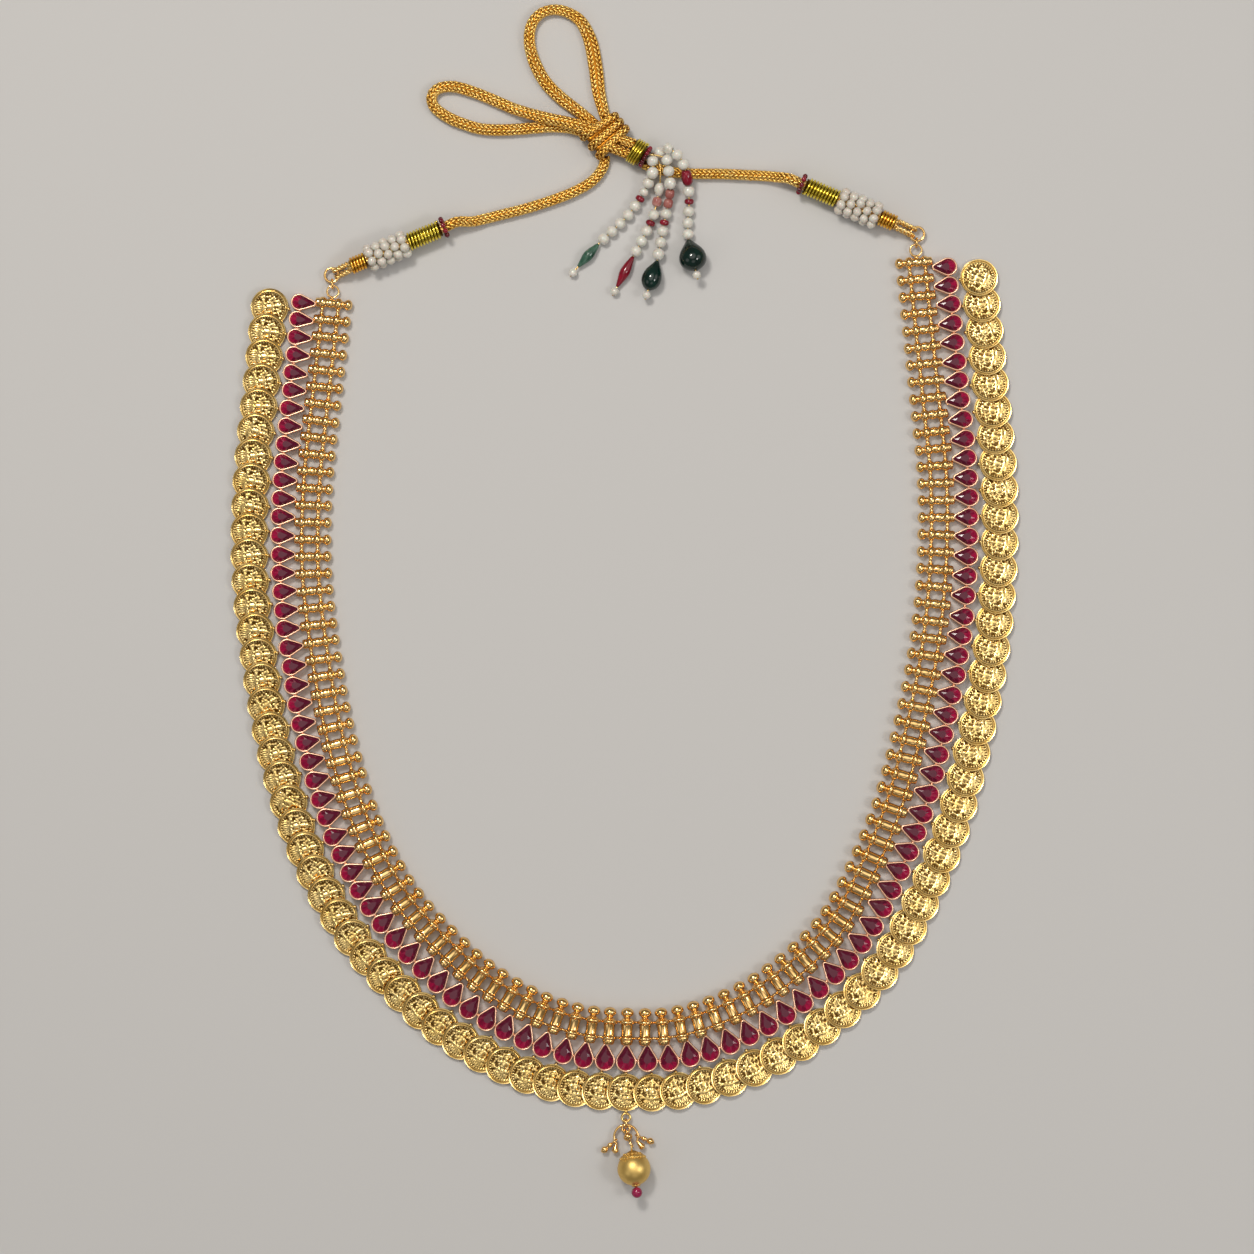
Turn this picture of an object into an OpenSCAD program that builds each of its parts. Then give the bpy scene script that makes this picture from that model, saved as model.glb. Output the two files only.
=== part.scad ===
// Temple jewellery necklace, laid out flat on a table.
// Millimetres. +Z is up, +Y points to the tie cord, and the origin lies under the middle stone.

/* [Bead bars] */
// Cast bars on the left of the middle bar
bars_left_n = 51; // [49:1:52]
// Cast bars on the right of the middle bar
bars_right_n = 53; // [51:1:54]
// Flange diameter in the middle of the necklace
flange_d = 4; // [3.6:0.1:4.2]
// Flange diameter at the ends of the band
flange_end_d = 2.8; // [2.6:0.1:3.2]
// Width of one flange in the middle
flange_w = 0.6; // [0.5:0.1:0.9]
// Width of one flange at the ends, where it is nearly a ball
flange_end_w = 1.5; // [1:0.1:1.8]
// Distance between a bar's two flanges
flange_apart = 3.8; // [3.4:0.1:4.2]
// Waist of a bar as a share of its flange
waist_share = 0.66; // [0.6:0.02:0.85]
// Diameter of the ball on a bar in the middle
ball_d = 3.1; // [2.6:0.1:3.4]
// Diameter of the ball on a bar at the ends
ball_end_d = 2.3; // [2:0.1:2.6]
// Height of the ball along its bar
ball_h = 1.9; // [1.6:0.1:2.2]
// From the middle of a bar to the middle of its ball
ball_reach = 4.6; // [4.3:0.1:4.9]
// From the middle of a bar to the end of its foot
foot_reach = 3.05; // [2.8:0.05:3.2]
// Diameter of the neck that carries the ball
neck_d = 1.3; // [1:0.1:1.6]
// Diameter of the pins that join the bars
pin_d = 0.8; // [0.6:0.1:1]

/* [Settings and stones] */
// Settings on the left of the middle one
stones_left_n = 48; // [46:1:49]
// Settings on the right of the middle one
stones_right_n = 48; // [46:1:50]
// Length of the middle settings
setting_l = 6.85; // [6.4:0.05:7.2]
// Length of the settings at the ends
setting_end_l = 6.3; // [6:0.1:6.8]
// Height of a setting
setting_h = 2.6; // [2.2:0.1:3]
// Space between two settings
setting_gap = 0.45; // [0.4:0.05:0.6]
// Wall of a setting
setting_wall = 0.45; // [0.35:0.05:0.6]
// Floor of a setting
setting_floor = 1; // [0.8:0.1:1.2]
// Radius of a setting's tip
setting_tip_r = 0.75; // [0.65:0.05:0.9]
// Diameter of the solder joints between the settings
solder_d = 0.9; // [0.7:0.1:1.1]
// Space round a stone in its setting
stone_clear = 0.1; // [0.1:0.02:0.15]
// Height of the stone's table above its setting
stone_rise = 0.7; // [0.4:0.1:1]

/* [Coins] */
// Coins on the left of the middle one
coins_left_n = 39; // [37:1:40]
// Coins on the right of the middle one
coins_right_n = 38; // [36:1:40]
// Diameter of a coin
coin_d = 9.4; // [9:0.1:9.8]
// Thickness of a coin at its rim
coin_t = 0.8; // [0.7:0.05:0.9]
// Depth of the field below the rim
coin_relief = 0.3; // [0.2:0.05:0.35]
// Width of the rim
coin_rim = 0.45; // [0.3:0.05:0.6]
// Space between two coins that overlap
coin_clear = 0.16; // [0.14:0.02:0.25]
// Space between the settings and the coins
coin_gap = 0.55; // [0.45:0.05:0.8]
// Width of the tab that ties a coin to the settings
tab_w = 1.1; // [0.8:0.1:1.5]

/* [Rings at the ends] */
// Outer diameter of the ring on the last bar
end_ring_d = 3.4; // [3:0.1:3.8]
// Outer diameter of the jump ring that the cord holds
jump_ring_d = 4; // [3.8:0.1:4.4]
// Wire of these rings
ring_wire = 0.5; // [0.4:0.05:0.6]
// Play of a wire in the ring that it passes through
link_play = 0.15; // [0.1:0.05:0.2]
// Thread that loops through the jump ring
loop_thread = 0.75; // [0.6:0.05:0.9]

/* [Wrapped ends] */
// Diameter of the threads under the wrapping
core_d = 2.7; // [2.4:0.1:3]
// Space between the threads and what is slid on them
core_clear = 0.1; // [0.05:0.05:0.2]
// Space between the pieces on the threads
stack_gap = 0.15; // [0.1:0.05:0.3]
// Length of the left bare loops, from the jump ring to the wrapping
loops_left_l = 5.2; // [5:0.1:6]
// Length of the right bare loops
loops_right_l = 6.1; // [5:0.1:6.4]
// Length of the short wire wrap
short_wrap_l = 4.3; // [3.6:0.1:5]
// Diameter of the short wire wrap
short_wrap_d = 4.3; // [4:0.1:4.6]
// Diameter of a seed pearl
seed_d = 2.2; // [2:0.1:2.4]
// Length of the long coil wrap
coil_wrap_l = 8.9; // [8:0.1:10]
// Diameter of the long coil wrap
coil_wrap_d = 4.7; // [4.2:0.1:5]
// Diameter of the small red beads round the threads
red_seed_d = 1.4; // [1.2:0.1:1.6]

/* [Cord and knot] */
// Diameter of the woven cord
cord_d = 2.8; // [2.6:0.1:3]
// Length of a wrap of the knot
knot_l = 12.2; // [11.8:0.2:13]
// Width of a wrap of the knot
knot_w = 3.2; // [3:0.1:3.4]
// Height of the knot
knot_h = 6.2; // [6:0.1:6.4]
// Distance between the knot's two wraps
knot_step = 4.1; // [3.9:0.1:4.2]
// Bare length of the two tails between the knot and the tassel's cap
tail_l = 3.6; // [3.2:0.1:4]
// Distance between the two tails where they enter the cap
tail_apart = 2.9; // [2.9:0.1:3.1]

/* [Tassel] */
// Diameter of the wrapped cap
cap_d = 6.8; // [6.4:0.1:7]
// Length of the wrapped cap
cap_l = 3.2; // [2.8:0.1:3.4]
// Diameter of the red band beside the cap
band_d = 6.2; // [5.8:0.1:6.6]
// Length of the red band
band_l = 1.2; // [1:0.1:1.2]
// Diameter of a tassel pearl
pearl_d = 2.9; // [2.6:0.05:2.95]
// Length of a tassel pearl along its thread
pearl_l = 2.75; // [2.6:0.05:2.9]
// Diameter of the tassel's thread
thread_d = 0.4; // [0.3:0.05:0.5]
// Play of the thread in a bead's bore
thread_play = 0.5; // [0.4:0.05:0.5]
// Play of the thread in a glass drop's bore
drop_play = 0.4; // [0.3:0.05:0.45]
// Space between two beads on a thread
bead_gap = 0.12; // [0.1:0.02:0.2]
// Diameter of the slim green drop
slim_drop_d = 5; // [4.4:0.1:5.2]
// Length of the slim green drop
slim_drop_l = 7.8; // [7.4:0.1:8.2]
// Diameter of the fat green drop
fat_drop_d = 6.9; // [6.2:0.1:7]
// Length of the fat green drop
fat_drop_l = 8.2; // [7.8:0.1:8.6]
// Diameter of the glass spindles
spindle_d = 2.6; // [2.3:0.1:2.9]

/* [Pendant] */
// Diameter of the hollow gold ball
pendant_ball_d = 8.3; // [8:0.1:9]
// Diameter of the ruby bead under the ball
pendant_bead_d = 2.7; // [2.4:0.1:3]
// Wire of the pendant's rings
pendant_wire = 0.45; // [0.4:0.05:0.5]
// Diameter of the open hoop over its wire
hoop_d = 6.4; // [6:0.1:6.8]
// Diameter of the ball on a charm
charm_d = 1.7; // [1.5:0.1:1.8]

/* [Hidden] */

// The line of the stones, seen from above: down the left side, round the bottom and up the right side.
band_route = [[-79.5, 208], [-81.3, 190], [-83.7, 168], [-86, 146], [-86.5, 124], [-84.4, 103], [-80.2, 79],
  [-73.2, 56], [-62.5, 36], [-47.4, 19.6], [-36.3, 11], [-24.2, 4.7], [-12, 1], [0, 0], [12, 0.3],
  [24.2, 3.5], [36.4, 9.3], [47.8, 17.6], [58, 28], [65.4, 40.4], [73.8, 60], [79.4, 81], [83.6, 103], [85.6, 125],
  [85.6, 146], [83.5, 168], [80.3, 199], [78.5, 217]];
route_middle = 13;
route_steps = 6;
// How far the first and the last piece of a row lie from the ends of that line, and how the spacing tapers.
bar_ends = [17.6, 16.3, 0.03, 0.03];
stone_ends = [18.1, 18.1, 0.1, 0.06];
coin_ends = [20, 21.7, 0, 0];

// Routes of the cord: x, y, z and how far the soft cord is flattened at that point.
cord_left_route = [[-38.4, 210.2, 2.1, 1], [-35, 211, 1.4, 1], [-31, 212, 1.4, 1], [-24, 213.8, 1.4, 1],
  [-17, 216.1, 1.4, 1], [-12, 218.2, 1.4, 1], [-8, 220.8, 1.4, 1], [-5.7, 224, 1.4, 1],
  [-5.3, 226.4, 1.4, 1]];
cord_right_route = [[37.6, 221.3, 2.3, 1], [34, 221.7, 1.4, 1], [30, 221.9, 1.4, 1], [23, 222.2, 1.4, 1],
  [17, 222.2, 1.4, 1], [12, 222.6, 1.4, 1], [8.4, 223.3, 1.4, 1]];
// The right cord's last points, beside the cap: x and y from the cap's middle, z and flattening.
cord_right_end = [[3.35, -3.45, 1.5, 1], [1.75, -2.65, 1.7, 1]];
bow_left_route = [[-9.7, 232.2, 1.45, 1], [-13.5, 233.6, 1.4, 1.1], [-18.5, 234, 1.4, 1.1],
  [-24, 233.6, 1.4, 1.1], [-30, 233.2, 1.4, 1.1], [-36, 233.4, 1.4, 1.1], [-41, 234.8, 1.4, 1.1],
  [-45, 236.6, 1.4, 1.1], [-48, 239, 1.4, 1.05], [-48.6, 241.6, 1.4, 1], [-46.8, 243.6, 1.4, 1.05],
  [-43, 244, 1.4, 1.1], [-38, 242.6, 1.4, 1.1], [-33, 240.6, 1.4, 1.1], [-28, 238.4, 1.9, 1.1],
  [-23, 236.8, 3, 1.1], [-18.5, 235.6, 4.1, 1.1], [-13.5, 234.5, 4.5, 1.1], [-8.9, 233.2, 4.4, 1.1]];
bow_top_route = [[-7.4, 234.2, 1.5, 1], [-11.8, 237.8, 1.4, 1.15], [-16.3, 241.2, 1.3, 1.25],
  [-20.3, 245.3, 1.3, 1.25], [-23, 250.4, 1.3, 1.2], [-24.2, 255.3, 1.4, 1.1], [-23.6, 259.6, 1.4, 1.05],
  [-21.2, 262.4, 1.4, 1], [-17.7, 263.3, 1.4, 1], [-14.2, 262.4, 1.4, 1.05], [-11.2, 260.2, 1.4, 1.15],
  [-8.9, 255.4, 1.3, 1.35], [-7.6, 248.8, 1.2, 1.4], [-6.8, 242.5, 1.3, 1.3], [-5.2, 236.2, 1.5, 1]];

// Routes of the tassel's threads, from the band to the last pearl: x and y from the cap's middle, and z.
strand_routes = [
  [[2.95, -0.95, 3.9], [3.85, -2.35, 4.35], [3.75, -5.35, 4.3], [2.45, -8.15, 2.6], [0.75, -11.35, 1.7],
    [-2.25, -15.45, 1.5], [-4.85, -18.15, 1.5], [-9.35, -22.35, 1.5], [-10.35, -23.45, 1.4],
    [-15.35, -29.05, 1.4], [-16.85, -30.95, 1.3], [-17.85, -32.25, 1.3]],
  [[2.85, -1.25, 2.9], [4.15, -1.55, 2.7], [5.25, -2.15, 2.9], [5.75, -3.75, 3.4], [5.75, -5.95, 3.3],
    [5.55, -8.85, 1.8], [4.85, -12.35, 1.5], [3.75, -16.35, 1.5], [1.85, -20.45, 1.5],
    [-0.85, -25.55, 1.5], [-1.85, -27.35, 1.4], [-5.45, -34.15, 1.4], [-6.45, -36.15, 1.3],
    [-7.65, -38.35, 1.3]],
  [[3.05, -0.75, 5.6], [5.55, -1.05, 5.2], [7.45, -2.1, 4.45], [7.85, -5.35, 4.4], [8.25, -8.45, 3.9],
    [7.95, -11.45, 2.2], [6.95, -16.45, 1.55], [6.05, -21.15, 1.5], [5.35, -24.95, 1.8],
    [4.95, -27.15, 2.1], [3.35, -32.15, 2.55], [2.35, -35.35, 2.8], [1.45, -38.35, 3]],
  [[3.45, -0.35, 2.9], [5.55, 0.05, 3.4], [7.55, 0.9, 4.85], [9.75, -0.55, 5.4], [11.35, -2.85, 4.9],
    [12.35, -6.15, 4.1], [12.85, -9.95, 2.3], [12.95, -12.75, 1.6], [12.65, -16.95, 1.5],
    [12.65, -20.45, 1.7], [12.85, -21.95, 2.1], [13.75, -25.95, 3.2], [14.65, -29.95, 4.3],
    [15.25, -32.65, 5.05]]];

// Beads of each strand: kind, and the bare thread before it.
strand_beads = [
  [["pearl", 0.2], ["big", 0], ["pearl", 0], ["small", 0], ["red", 0], ["pearl", 0], ["pearl", 0],
    ["pearl", 0], ["pearl", 0], ["pearl", 0], ["spindle", 0.3], ["end", 0.8]],
  [["egg", 8.4], ["rose", 0], ["pearl", 0.7], ["red", 0], ["pearl", 0], ["pearl", 0],
    ["pearl", 0], ["long_spindle", 0], ["end", 0.1]],
  [["pearl", 3.4], ["pearl", 0], ["big", 0], ["rose", 0], ["rose", 0], ["pearl", 0], ["red", 0],
    ["pearl", 0], ["pearl", 0], ["big", 0], ["slim", 0], ["end", 0.1]],
  [["pearl", 0.8], ["pearl", 0], ["pearl", 0], ["pearl", 0], ["long", 0], ["big", 0], ["red", 0.3],
    ["pearl", 0.3], ["pearl", 0], ["pearl", 0], ["fat", 0], ["end", 0.1]]];

// A kind of bead: its length along the thread and its diameter.
bead_sizes = [["pearl", pearl_l, pearl_d], ["big", pearl_l + 0.35, pearl_d + 0.1], ["egg", 3.6, 2.6],
  ["small", 2.2, 2.4], ["end", 2.1, 2.1], ["red", 1.4, 2.4], ["rose", 2.4, 2.4], ["long", 3.9, 2.8],
  ["spindle", 7.6, spindle_d], ["long_spindle", 8.6, spindle_d], ["slim", slim_drop_l, slim_drop_d],
  ["fat", fat_drop_l, fat_drop_d]];

// How far the settings' tips reach inside the line of the stones.
round_reach = 2.5;
tip_reach = setting_l - round_reach;
bar_gap = 0.5;
bar_line = tip_reach + bar_gap + foot_reach;
coin_line = -round_reach - coin_gap - coin_d / 2;
flange_bevel = 0.18;
pin_sink = 0.5;
solder_sink = 0.25;
coin_field = coin_t - coin_relief;
tab_clear = 0.25;
ring_z = flange_end_d / 2;

// Angles of the fittings at each end, seen from above.
chain_turn = [94, 85];
wrap_turn = [22.7, 157];

bore_r = core_d / 2 + core_clear;
sleeve_rows = 5;
seed_line = core_d / 2 + 0.05 + seed_d / 2;
sleeve_l = sleeve_rows * seed_d;
sleeve_r = seed_line + seed_d / 2;
axis_z = sleeve_r + 0.05;
knot_at = [-5.03, 231.9];
knot_turn = 40;
cap_turn = -30;
// Half of the knot's width, measured square to its wraps, and how deep a tail runs into the knot and the cap.
knot_half = (knot_step + knot_w) / 2;
tail_sink = 0.4;
tail_shift = 0.83;
tail_z = cap_d / 2 + 0.7;
cap_at = knot_at + (knot_half / cos(knot_turn - 90 - cap_turn) + tail_l + cap_l / 2) * dir(cap_turn);
pendant_z = 1.3;
pendant_play = 0.12;

// Smooth line through chosen points.
function curve(a, b, c, d, t) =
  0.5 * (2 * b + (c - a) * t + (2 * a - 5 * b + 4 * c - d) * t ^ 2 + (3 * b - a - 3 * c + d) * t ^ 3);
function smooth(p, n) = let (m = len(p) - 1) concat(
  [for (i = [0:m - 1]) for (k = [0:n - 1])
    curve(p[max(i - 1, 0)], p[i], p[i + 1], p[min(i + 2, m)], k / n)],
  [p[m]]);
function unit(v) = v / norm(v);
function ahead(p, i) = unit(p[min(i + 1, len(p) - 1)] - p[max(i - 1, 0)]);
function beside(p, v) = [for (i = [0:len(p) - 1]) let (d = ahead(p, i)) p[i] + v * [-d.y, d.x]];
function way(p) =
  [for (i = 0, s = 0; i < len(p); s = s + (i < len(p) - 1 ? norm(p[i + 1] - p[i]) : 0), i = i + 1) s];
function tables(p, r) = [for (k = [0:len(p[0]) - 1]) [for (i = [0:len(p) - 1]) [r[i], p[i][k]]]];

// A row beside the line of the stones: its tables, its length and where its middle lies.
spine = smooth(band_route, route_steps);
function row(v) =
  let (p = beside(spine, v), r = way(p)) [tables(p, r), r[len(r) - 1], r[route_middle * route_steps]];
function spot(w, s) = [for (t = w[0]) lookup(s, t)];
function heading(w, s) = let (d = spot(w, s + 0.6) - spot(w, s - 0.6)) atan2(d.y, d.x);
module on_row(w, s) {
  p = spot(w, s);
  translate([p.x, p.y, 0]) rotate(heading(w, s)) children();
}
// Share of the way from the middle of the necklace, 0, to its ends, 1.
function share(w, s) = s < w[2] ? (w[2] - s) / w[2] : (s - w[2]) / (w[1] - w[2]);
function eased(t) = let (u = min(max((t - 0.15) / 0.6, 0), 1)) u * u * (3 - 2 * u);
function graded(w, s, middle, end) = middle + (end - middle) * eased(share(w, s));
// Places of a row's copies, from the middle to one end: side -1 is left and 1 is right.
function room(w, ends, side) = side < 0 ? w[2] - ends[0] : w[1] - ends[1] - w[2];
function taper(ends, side) = side < 0 ? ends[2] : ends[3];
function places(w, ends, side, n, first) = let (q = taper(ends, side))
  [for (k = [first:n]) w[2] + side * room(w, ends, side) * ((1 + q) * k / n - q * (k / n) ^ 2)];
function pitch(w, ends, side, n, s) = let (r = room(w, ends, side), q = taper(ends, side))
  r / n * (1 + q - 2 * q * min(abs(s - w[2]) / r, 1));

bar_row = row(bar_line);
stone_row = row(0);
coin_row = row(coin_line);
bars_left = places(bar_row, bar_ends, -1, bars_left_n, 1);
bars_right = places(bar_row, bar_ends, 1, bars_right_n, 0);
stones_left = places(stone_row, stone_ends, -1, stones_left_n, 1);
stones_right = places(stone_row, stone_ends, 1, stones_right_n, 0);

function flange_at(s) = graded(bar_row, s, flange_d, flange_end_d);
function bar_pitch(s) = s < bar_row[2] ? pitch(bar_row, bar_ends, -1, bars_left_n, s)
  : pitch(bar_row, bar_ends, 1, bars_right_n, s);
function stone_pitch(s) = s < stone_row[2] ? pitch(stone_row, stone_ends, -1, stones_left_n, s)
  : pitch(stone_row, stone_ends, 1, stones_right_n, s);
function drop_at(w, s) = graded(w, s, 0, setting_l - setting_end_l);

// A cast bar lies across the band, its foot to the settings and its ball pointing inwards.
module bar(s) {
  d = flange_at(s);
  r = d / 2;
  a = flange_apart / 2;
  w = graded(bar_row, s, flange_w, flange_end_w) / 2;
  waist = r * waist_share;
  neck = neck_d / 2;
  ball = graded(bar_row, s, ball_d, ball_end_d) / 2;
  h = ball_h / 2;
  translate([0, -drop_at(bar_row, s), r]) rotate([-90, 0, 0]) rotate_extrude($fn = 32)
    polygon([[0, -foot_reach], [neck, -foot_reach], [waist, -a - w - flange_bevel],
      [r - flange_bevel, -a - w],
      [r, -a - w * 0.4], [r, w * 0.4 - a], [r - flange_bevel, w - a], [waist, w + 0.25 - a],
      [waist, a - w - 0.25], [r - flange_bevel, a - w], [r, a - w * 0.4], [r, a + w * 0.4],
      [r - flange_bevel, a + w], [neck, a + w + 0.3], [neck, ball_reach - h * 0.9],
      [ball * 0.78, ball_reach - h * 0.7], [ball, ball_reach - h * 0.25], [ball, ball_reach + h * 0.25],
      [ball * 0.78, ball_reach + h * 0.75], [ball * 0.35, ball_reach + h], [0, ball_reach + h]]);
}

// Two pins hold a bar to the next one, flange to flange.
module bar_pins(s) {
  d = flange_at(s);
  l = bar_pitch(s) - d + 2 * pin_sink;
  on_row(bar_row, s)
    for (y = [-1, 1]) translate([0, y * flange_apart / 2 - drop_at(bar_row, s), d / 2])
      rotate([0, 90, 0]) cylinder(h = l, d = pin_d, center = true, $fn = 16);
}

// A ring lies flat beyond the last bar and is soldered to it by a short pin.
function last_bar(k) = k == 0 ? bars_left[bars_left_n - 1] : bars_right[bars_right_n];
module end_ring(k) {
  r = (end_ring_d - ring_wire) / 2;
  side = k == 0 ? -1 : 1;
  on_row(bar_row, last_bar(k)) translate([side * end_reach, end_ring_y[k], ring_z]) {
    rotate_extrude($fn = 32) translate([r, 0]) circle(d = ring_wire, $fn = 16);
    translate([-side * (r + 0.55), 0, 0]) rotate([0, 90, 0])
      cylinder(h = 1.1, d = pin_d, center = true, $fn = 16);
  }
}
end_reach = 3;
end_ring_y = [-0.3, -0.6];

module bead_band(k) {
  bars = k == 0 ? bars_left : bars_right;
  for (s = bars) on_row(bar_row, s) bar(s);
  for (i = [0:len(bars) - 2]) bar_pins((bars[i] + bars[i + 1]) / 2);
  end_ring(k);
}
module bead_band_left() { color("goldenrod") bead_band(0); }
module bead_band_right() { color("goldenrod") bead_band(1); }

// Outline of a pear: a round end at the origin and a small tip circle towards +Y.
module pear(r, tip, d) {
  a = asin((r - tip) / d);
  circle(r, $fn = 32);
  translate([0, d]) circle(tip, $fn = 16);
  polygon([[r * cos(a), r * sin(a)], [tip * cos(a), d + tip * sin(a)],
    [-tip * cos(a), d + tip * sin(a)], [-r * cos(a), r * sin(a)]]);
}

// Round end radius, distance of the tip's circle from it, and place of the round end's centre.
function pear_at(s) = let (w = stone_pitch(s) - setting_gap, l = setting_l - drop_at(stone_row, s))
  [w / 2, l - w / 2 - setting_tip_r, w / 2 - round_reach];

module setting(s) {
  p = pear_at(s);
  on_row(stone_row, s) translate([0, p[2], 0]) difference() {
    linear_extrude(setting_h) pear(p[0], setting_tip_r, p[1]);
    translate([0, 0, setting_floor]) linear_extrude(setting_h)
      pear(p[0] - setting_wall, setting_tip_r - setting_wall, p[1]);
  }
}
module setting_strip(stones) {
  for (s = stones) setting(s);
  for (i = [0:len(stones) - 2]) {
    s = (stones[i] + stones[i + 1]) / 2;
    on_row(stone_row, s) translate([0, pear_at(s)[2], setting_h * 0.6]) rotate([0, 90, 0])
      cylinder(h = setting_gap + 2 * solder_sink, d = solder_d, center = true, $fn = 16);
  }
}
module setting_strip_left() { color("darkgoldenrod") setting_strip(stones_left); }
module setting_strip_right() { color("darkgoldenrod") setting_strip(stones_right); }

// A pear-cut stone: keel, girdle, two rows of crown facets and a table.
stone_round = 8;
function pear_ring(r, tip, d, z) = let (a = asin((r - tip) / d)) concat(
  [for (k = [0:stone_round - 1]) let (b = 180 - a + k * (180 + 2 * a) / (stone_round - 1))
    [r * cos(b), r * sin(b), z]],
  [[tip * cos(a), d + tip * sin(a), z], [-tip * cos(a), d + tip * sin(a), z]]);
module stone(s) {
  p = pear_at(s);
  n = stone_round + 2;
  r = p[0] - setting_wall - stone_clear;
  tip = setting_tip_r - setting_wall - stone_clear;
  girdle = setting_h - 0.45;
  top = setting_h + stone_rise;
  rings = [pear_ring(r, tip, p[1], girdle), pear_ring(r, tip, p[1], setting_h - 0.1),
    pear_ring(r * 0.82, tip * 0.6, p[1] * 0.9, setting_h + stone_rise * 0.6),
    pear_ring(r * 0.55, tip * 0.5, p[1] * 0.66, top)];
  points = concat([[0, p[1] * 0.25, setting_floor + 0.15]], [for (k = rings) for (q = k) q]);
  sides = [for (k = [0:2]) for (i = [0:n - 1]) let (j = (i + 1) % n)
    [1 + k * n + i, 1 + (k + 1) * n + i, 1 + (k + 1) * n + j, 1 + k * n + j]];
  keel = [for (i = [0:n - 1]) [0, 1 + i, 1 + (i + 1) % n]];
  table = [for (i = [n - 1:-1:0]) 1 + 3 * n + i];
  on_row(stone_row, s) translate([0, p[2], 0]) polyhedron(points, concat(keel, sides, [table]));
}
module rubies_left() { color("crimson") for (s = stones_left) stone(s); }
module rubies_right() { color("crimson") for (s = stones_right) stone(s); }

// A seated figure in low relief, as shares of the coin's radius.
module figure_outline() {
  circle(0.15, $fn = 16);
  polygon([[-0.15, 0.08], [0.15, 0.08], [0.06, 0.27], [0, 0.34], [-0.06, 0.27]]);
  polygon([[-0.09, -0.06], [0.09, -0.06], [0.3, -0.2], [0.42, -0.42], [0.3, -0.5], [0.2, -0.36],
    [0.18, -0.56],
    [0.48, -0.68], [0.5, -0.8], [0.4, -0.86], [-0.4, -0.86], [-0.5, -0.8], [-0.48, -0.68], [-0.18, -0.56],
    [-0.2, -0.36], [-0.3, -0.5], [-0.42, -0.42], [-0.3, -0.2]]);
}
module coin() {
  r = coin_d / 2;
  translate([0, 0, -coin_t / 2]) {
    rotate_extrude($fn = 48) polygon([[0, 0], [r, 0], [r, coin_t], [r - coin_rim, coin_t],
      [r - coin_rim - coin_relief / 2, coin_field], [0, coin_field]]);
    translate([0, 0, coin_field / 2]) linear_extrude(coin_field / 2 + coin_relief * 0.8)
      scale(r * 0.8) translate([0, 0.3]) figure_outline();
    translate([-tab_w / 2, r - coin_rim, 0]) cube([tab_w, coin_rim + coin_gap - tab_clear, coin_field]);
  }
}
// Each coin leans on the one before it, one edge under and the other over.
module laid_coin(s, side) {
  n = side < 0 ? coins_left_n : coins_right_n;
  lean = asin((coin_t + coin_clear) / pitch(coin_row, coin_ends, side, n, s));
  rise = coin_d / 2 * sin(lean) + coin_t / 2 * cos(lean);
  on_row(coin_row, s) translate([0, 0, rise]) rotate([0, lean, 0]) children();
}
// The middle coin carries a flat ring for the pendant, soldered to its outer edge.
module pendant_eye() {
  translate([0, eye_y, pendant_z])
    rotate_extrude($fn = 32) translate([eye_r, 0]) circle(d = pendant_wire, $fn = 16);
  translate([0, eye_y + eye_r, pendant_z - 0.1]) rotate([-90, 0, 0]) cylinder(h = 1, d = 0.8, $fn = 16);
}
eye_r = 1.03;
eye_y = coin_line - coin_d / 2 - 1.6;
module coins_left() {
  color("gold") for (s = places(coin_row, coin_ends, -1, coins_left_n, 1)) laid_coin(s, -1) coin();
}
module coins_right() {
  color("gold") for (s = places(coin_row, coin_ends, 1, coins_right_n, 1)) laid_coin(s, 1) coin();
  color("gold") union() {
    laid_coin(coin_row[2], -1) coin();
    pendant_eye();
  }
}

// Places beyond each end of the band: 0 is the left end and 1 is the right.
function band_end(k) = let (s = last_bar(k), h = heading(bar_row, s), side = k == 0 ? -1 : 1)
  spot(bar_row, s) + side * end_reach * [cos(h), sin(h)] + end_ring_y[k] * [-sin(h), cos(h)];
end_ring_r = (end_ring_d - ring_wire) / 2;
jump_ring_r = (jump_ring_d - ring_wire) / 2;
wires_apart = ring_wire + 0.4;
link_r = (wires_apart + ring_wire) / 2 + link_play + ring_wire / 2;
function dir(a) = [cos(a), sin(a)];
function link_at(k) = band_end(k) + (end_ring_r + wires_apart / 2) * dir(chain_turn[k]);
function jump_at(k) = band_end(k) + (end_ring_r + wires_apart + jump_ring_r) * dir(chain_turn[k]);

module end_link(k) {
  p = link_at(k);
  color("goldenrod") translate([p.x, p.y, ring_z]) rotate([90, 0, chain_turn[k]])
    rotate_extrude($fn = 32) translate([link_r, 0]) circle(d = ring_wire, $fn = 16);
}
module end_link_left() { end_link(0); }
module end_link_right() { end_link(1); }

module jump_ring(k) {
  p = jump_at(k);
  color("goldenrod") translate([p.x, p.y, ring_z])
    rotate_extrude($fn = 32) translate([jump_ring_r, 0]) circle(d = ring_wire, $fn = 16);
}
module jump_ring_left() { jump_ring(0); }
module jump_ring_right() { jump_ring(1); }

// From here on a fitting lies on a level axis that starts at the jump ring.
module on_axis(k, along) {
  p = jump_at(k) + along * dir(wrap_turn[k]);
  translate([p.x, p.y, axis_z]) rotate([0, 90, wrap_turn[k]]) children();
}
function loops_l(k) = k == 0 ? loops_left_l : loops_right_l;
function sleeve_from(k) = loops_l(k) + short_wrap_l + stack_gap;
function coil_wrap_from(k) = sleeve_from(k) + sleeve_l + stack_gap;
function red_ring_from(k) = coil_wrap_from(k) + coil_wrap_l + stack_gap;
function core_to(k) = red_ring_from(k) + red_seed_d;

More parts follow.
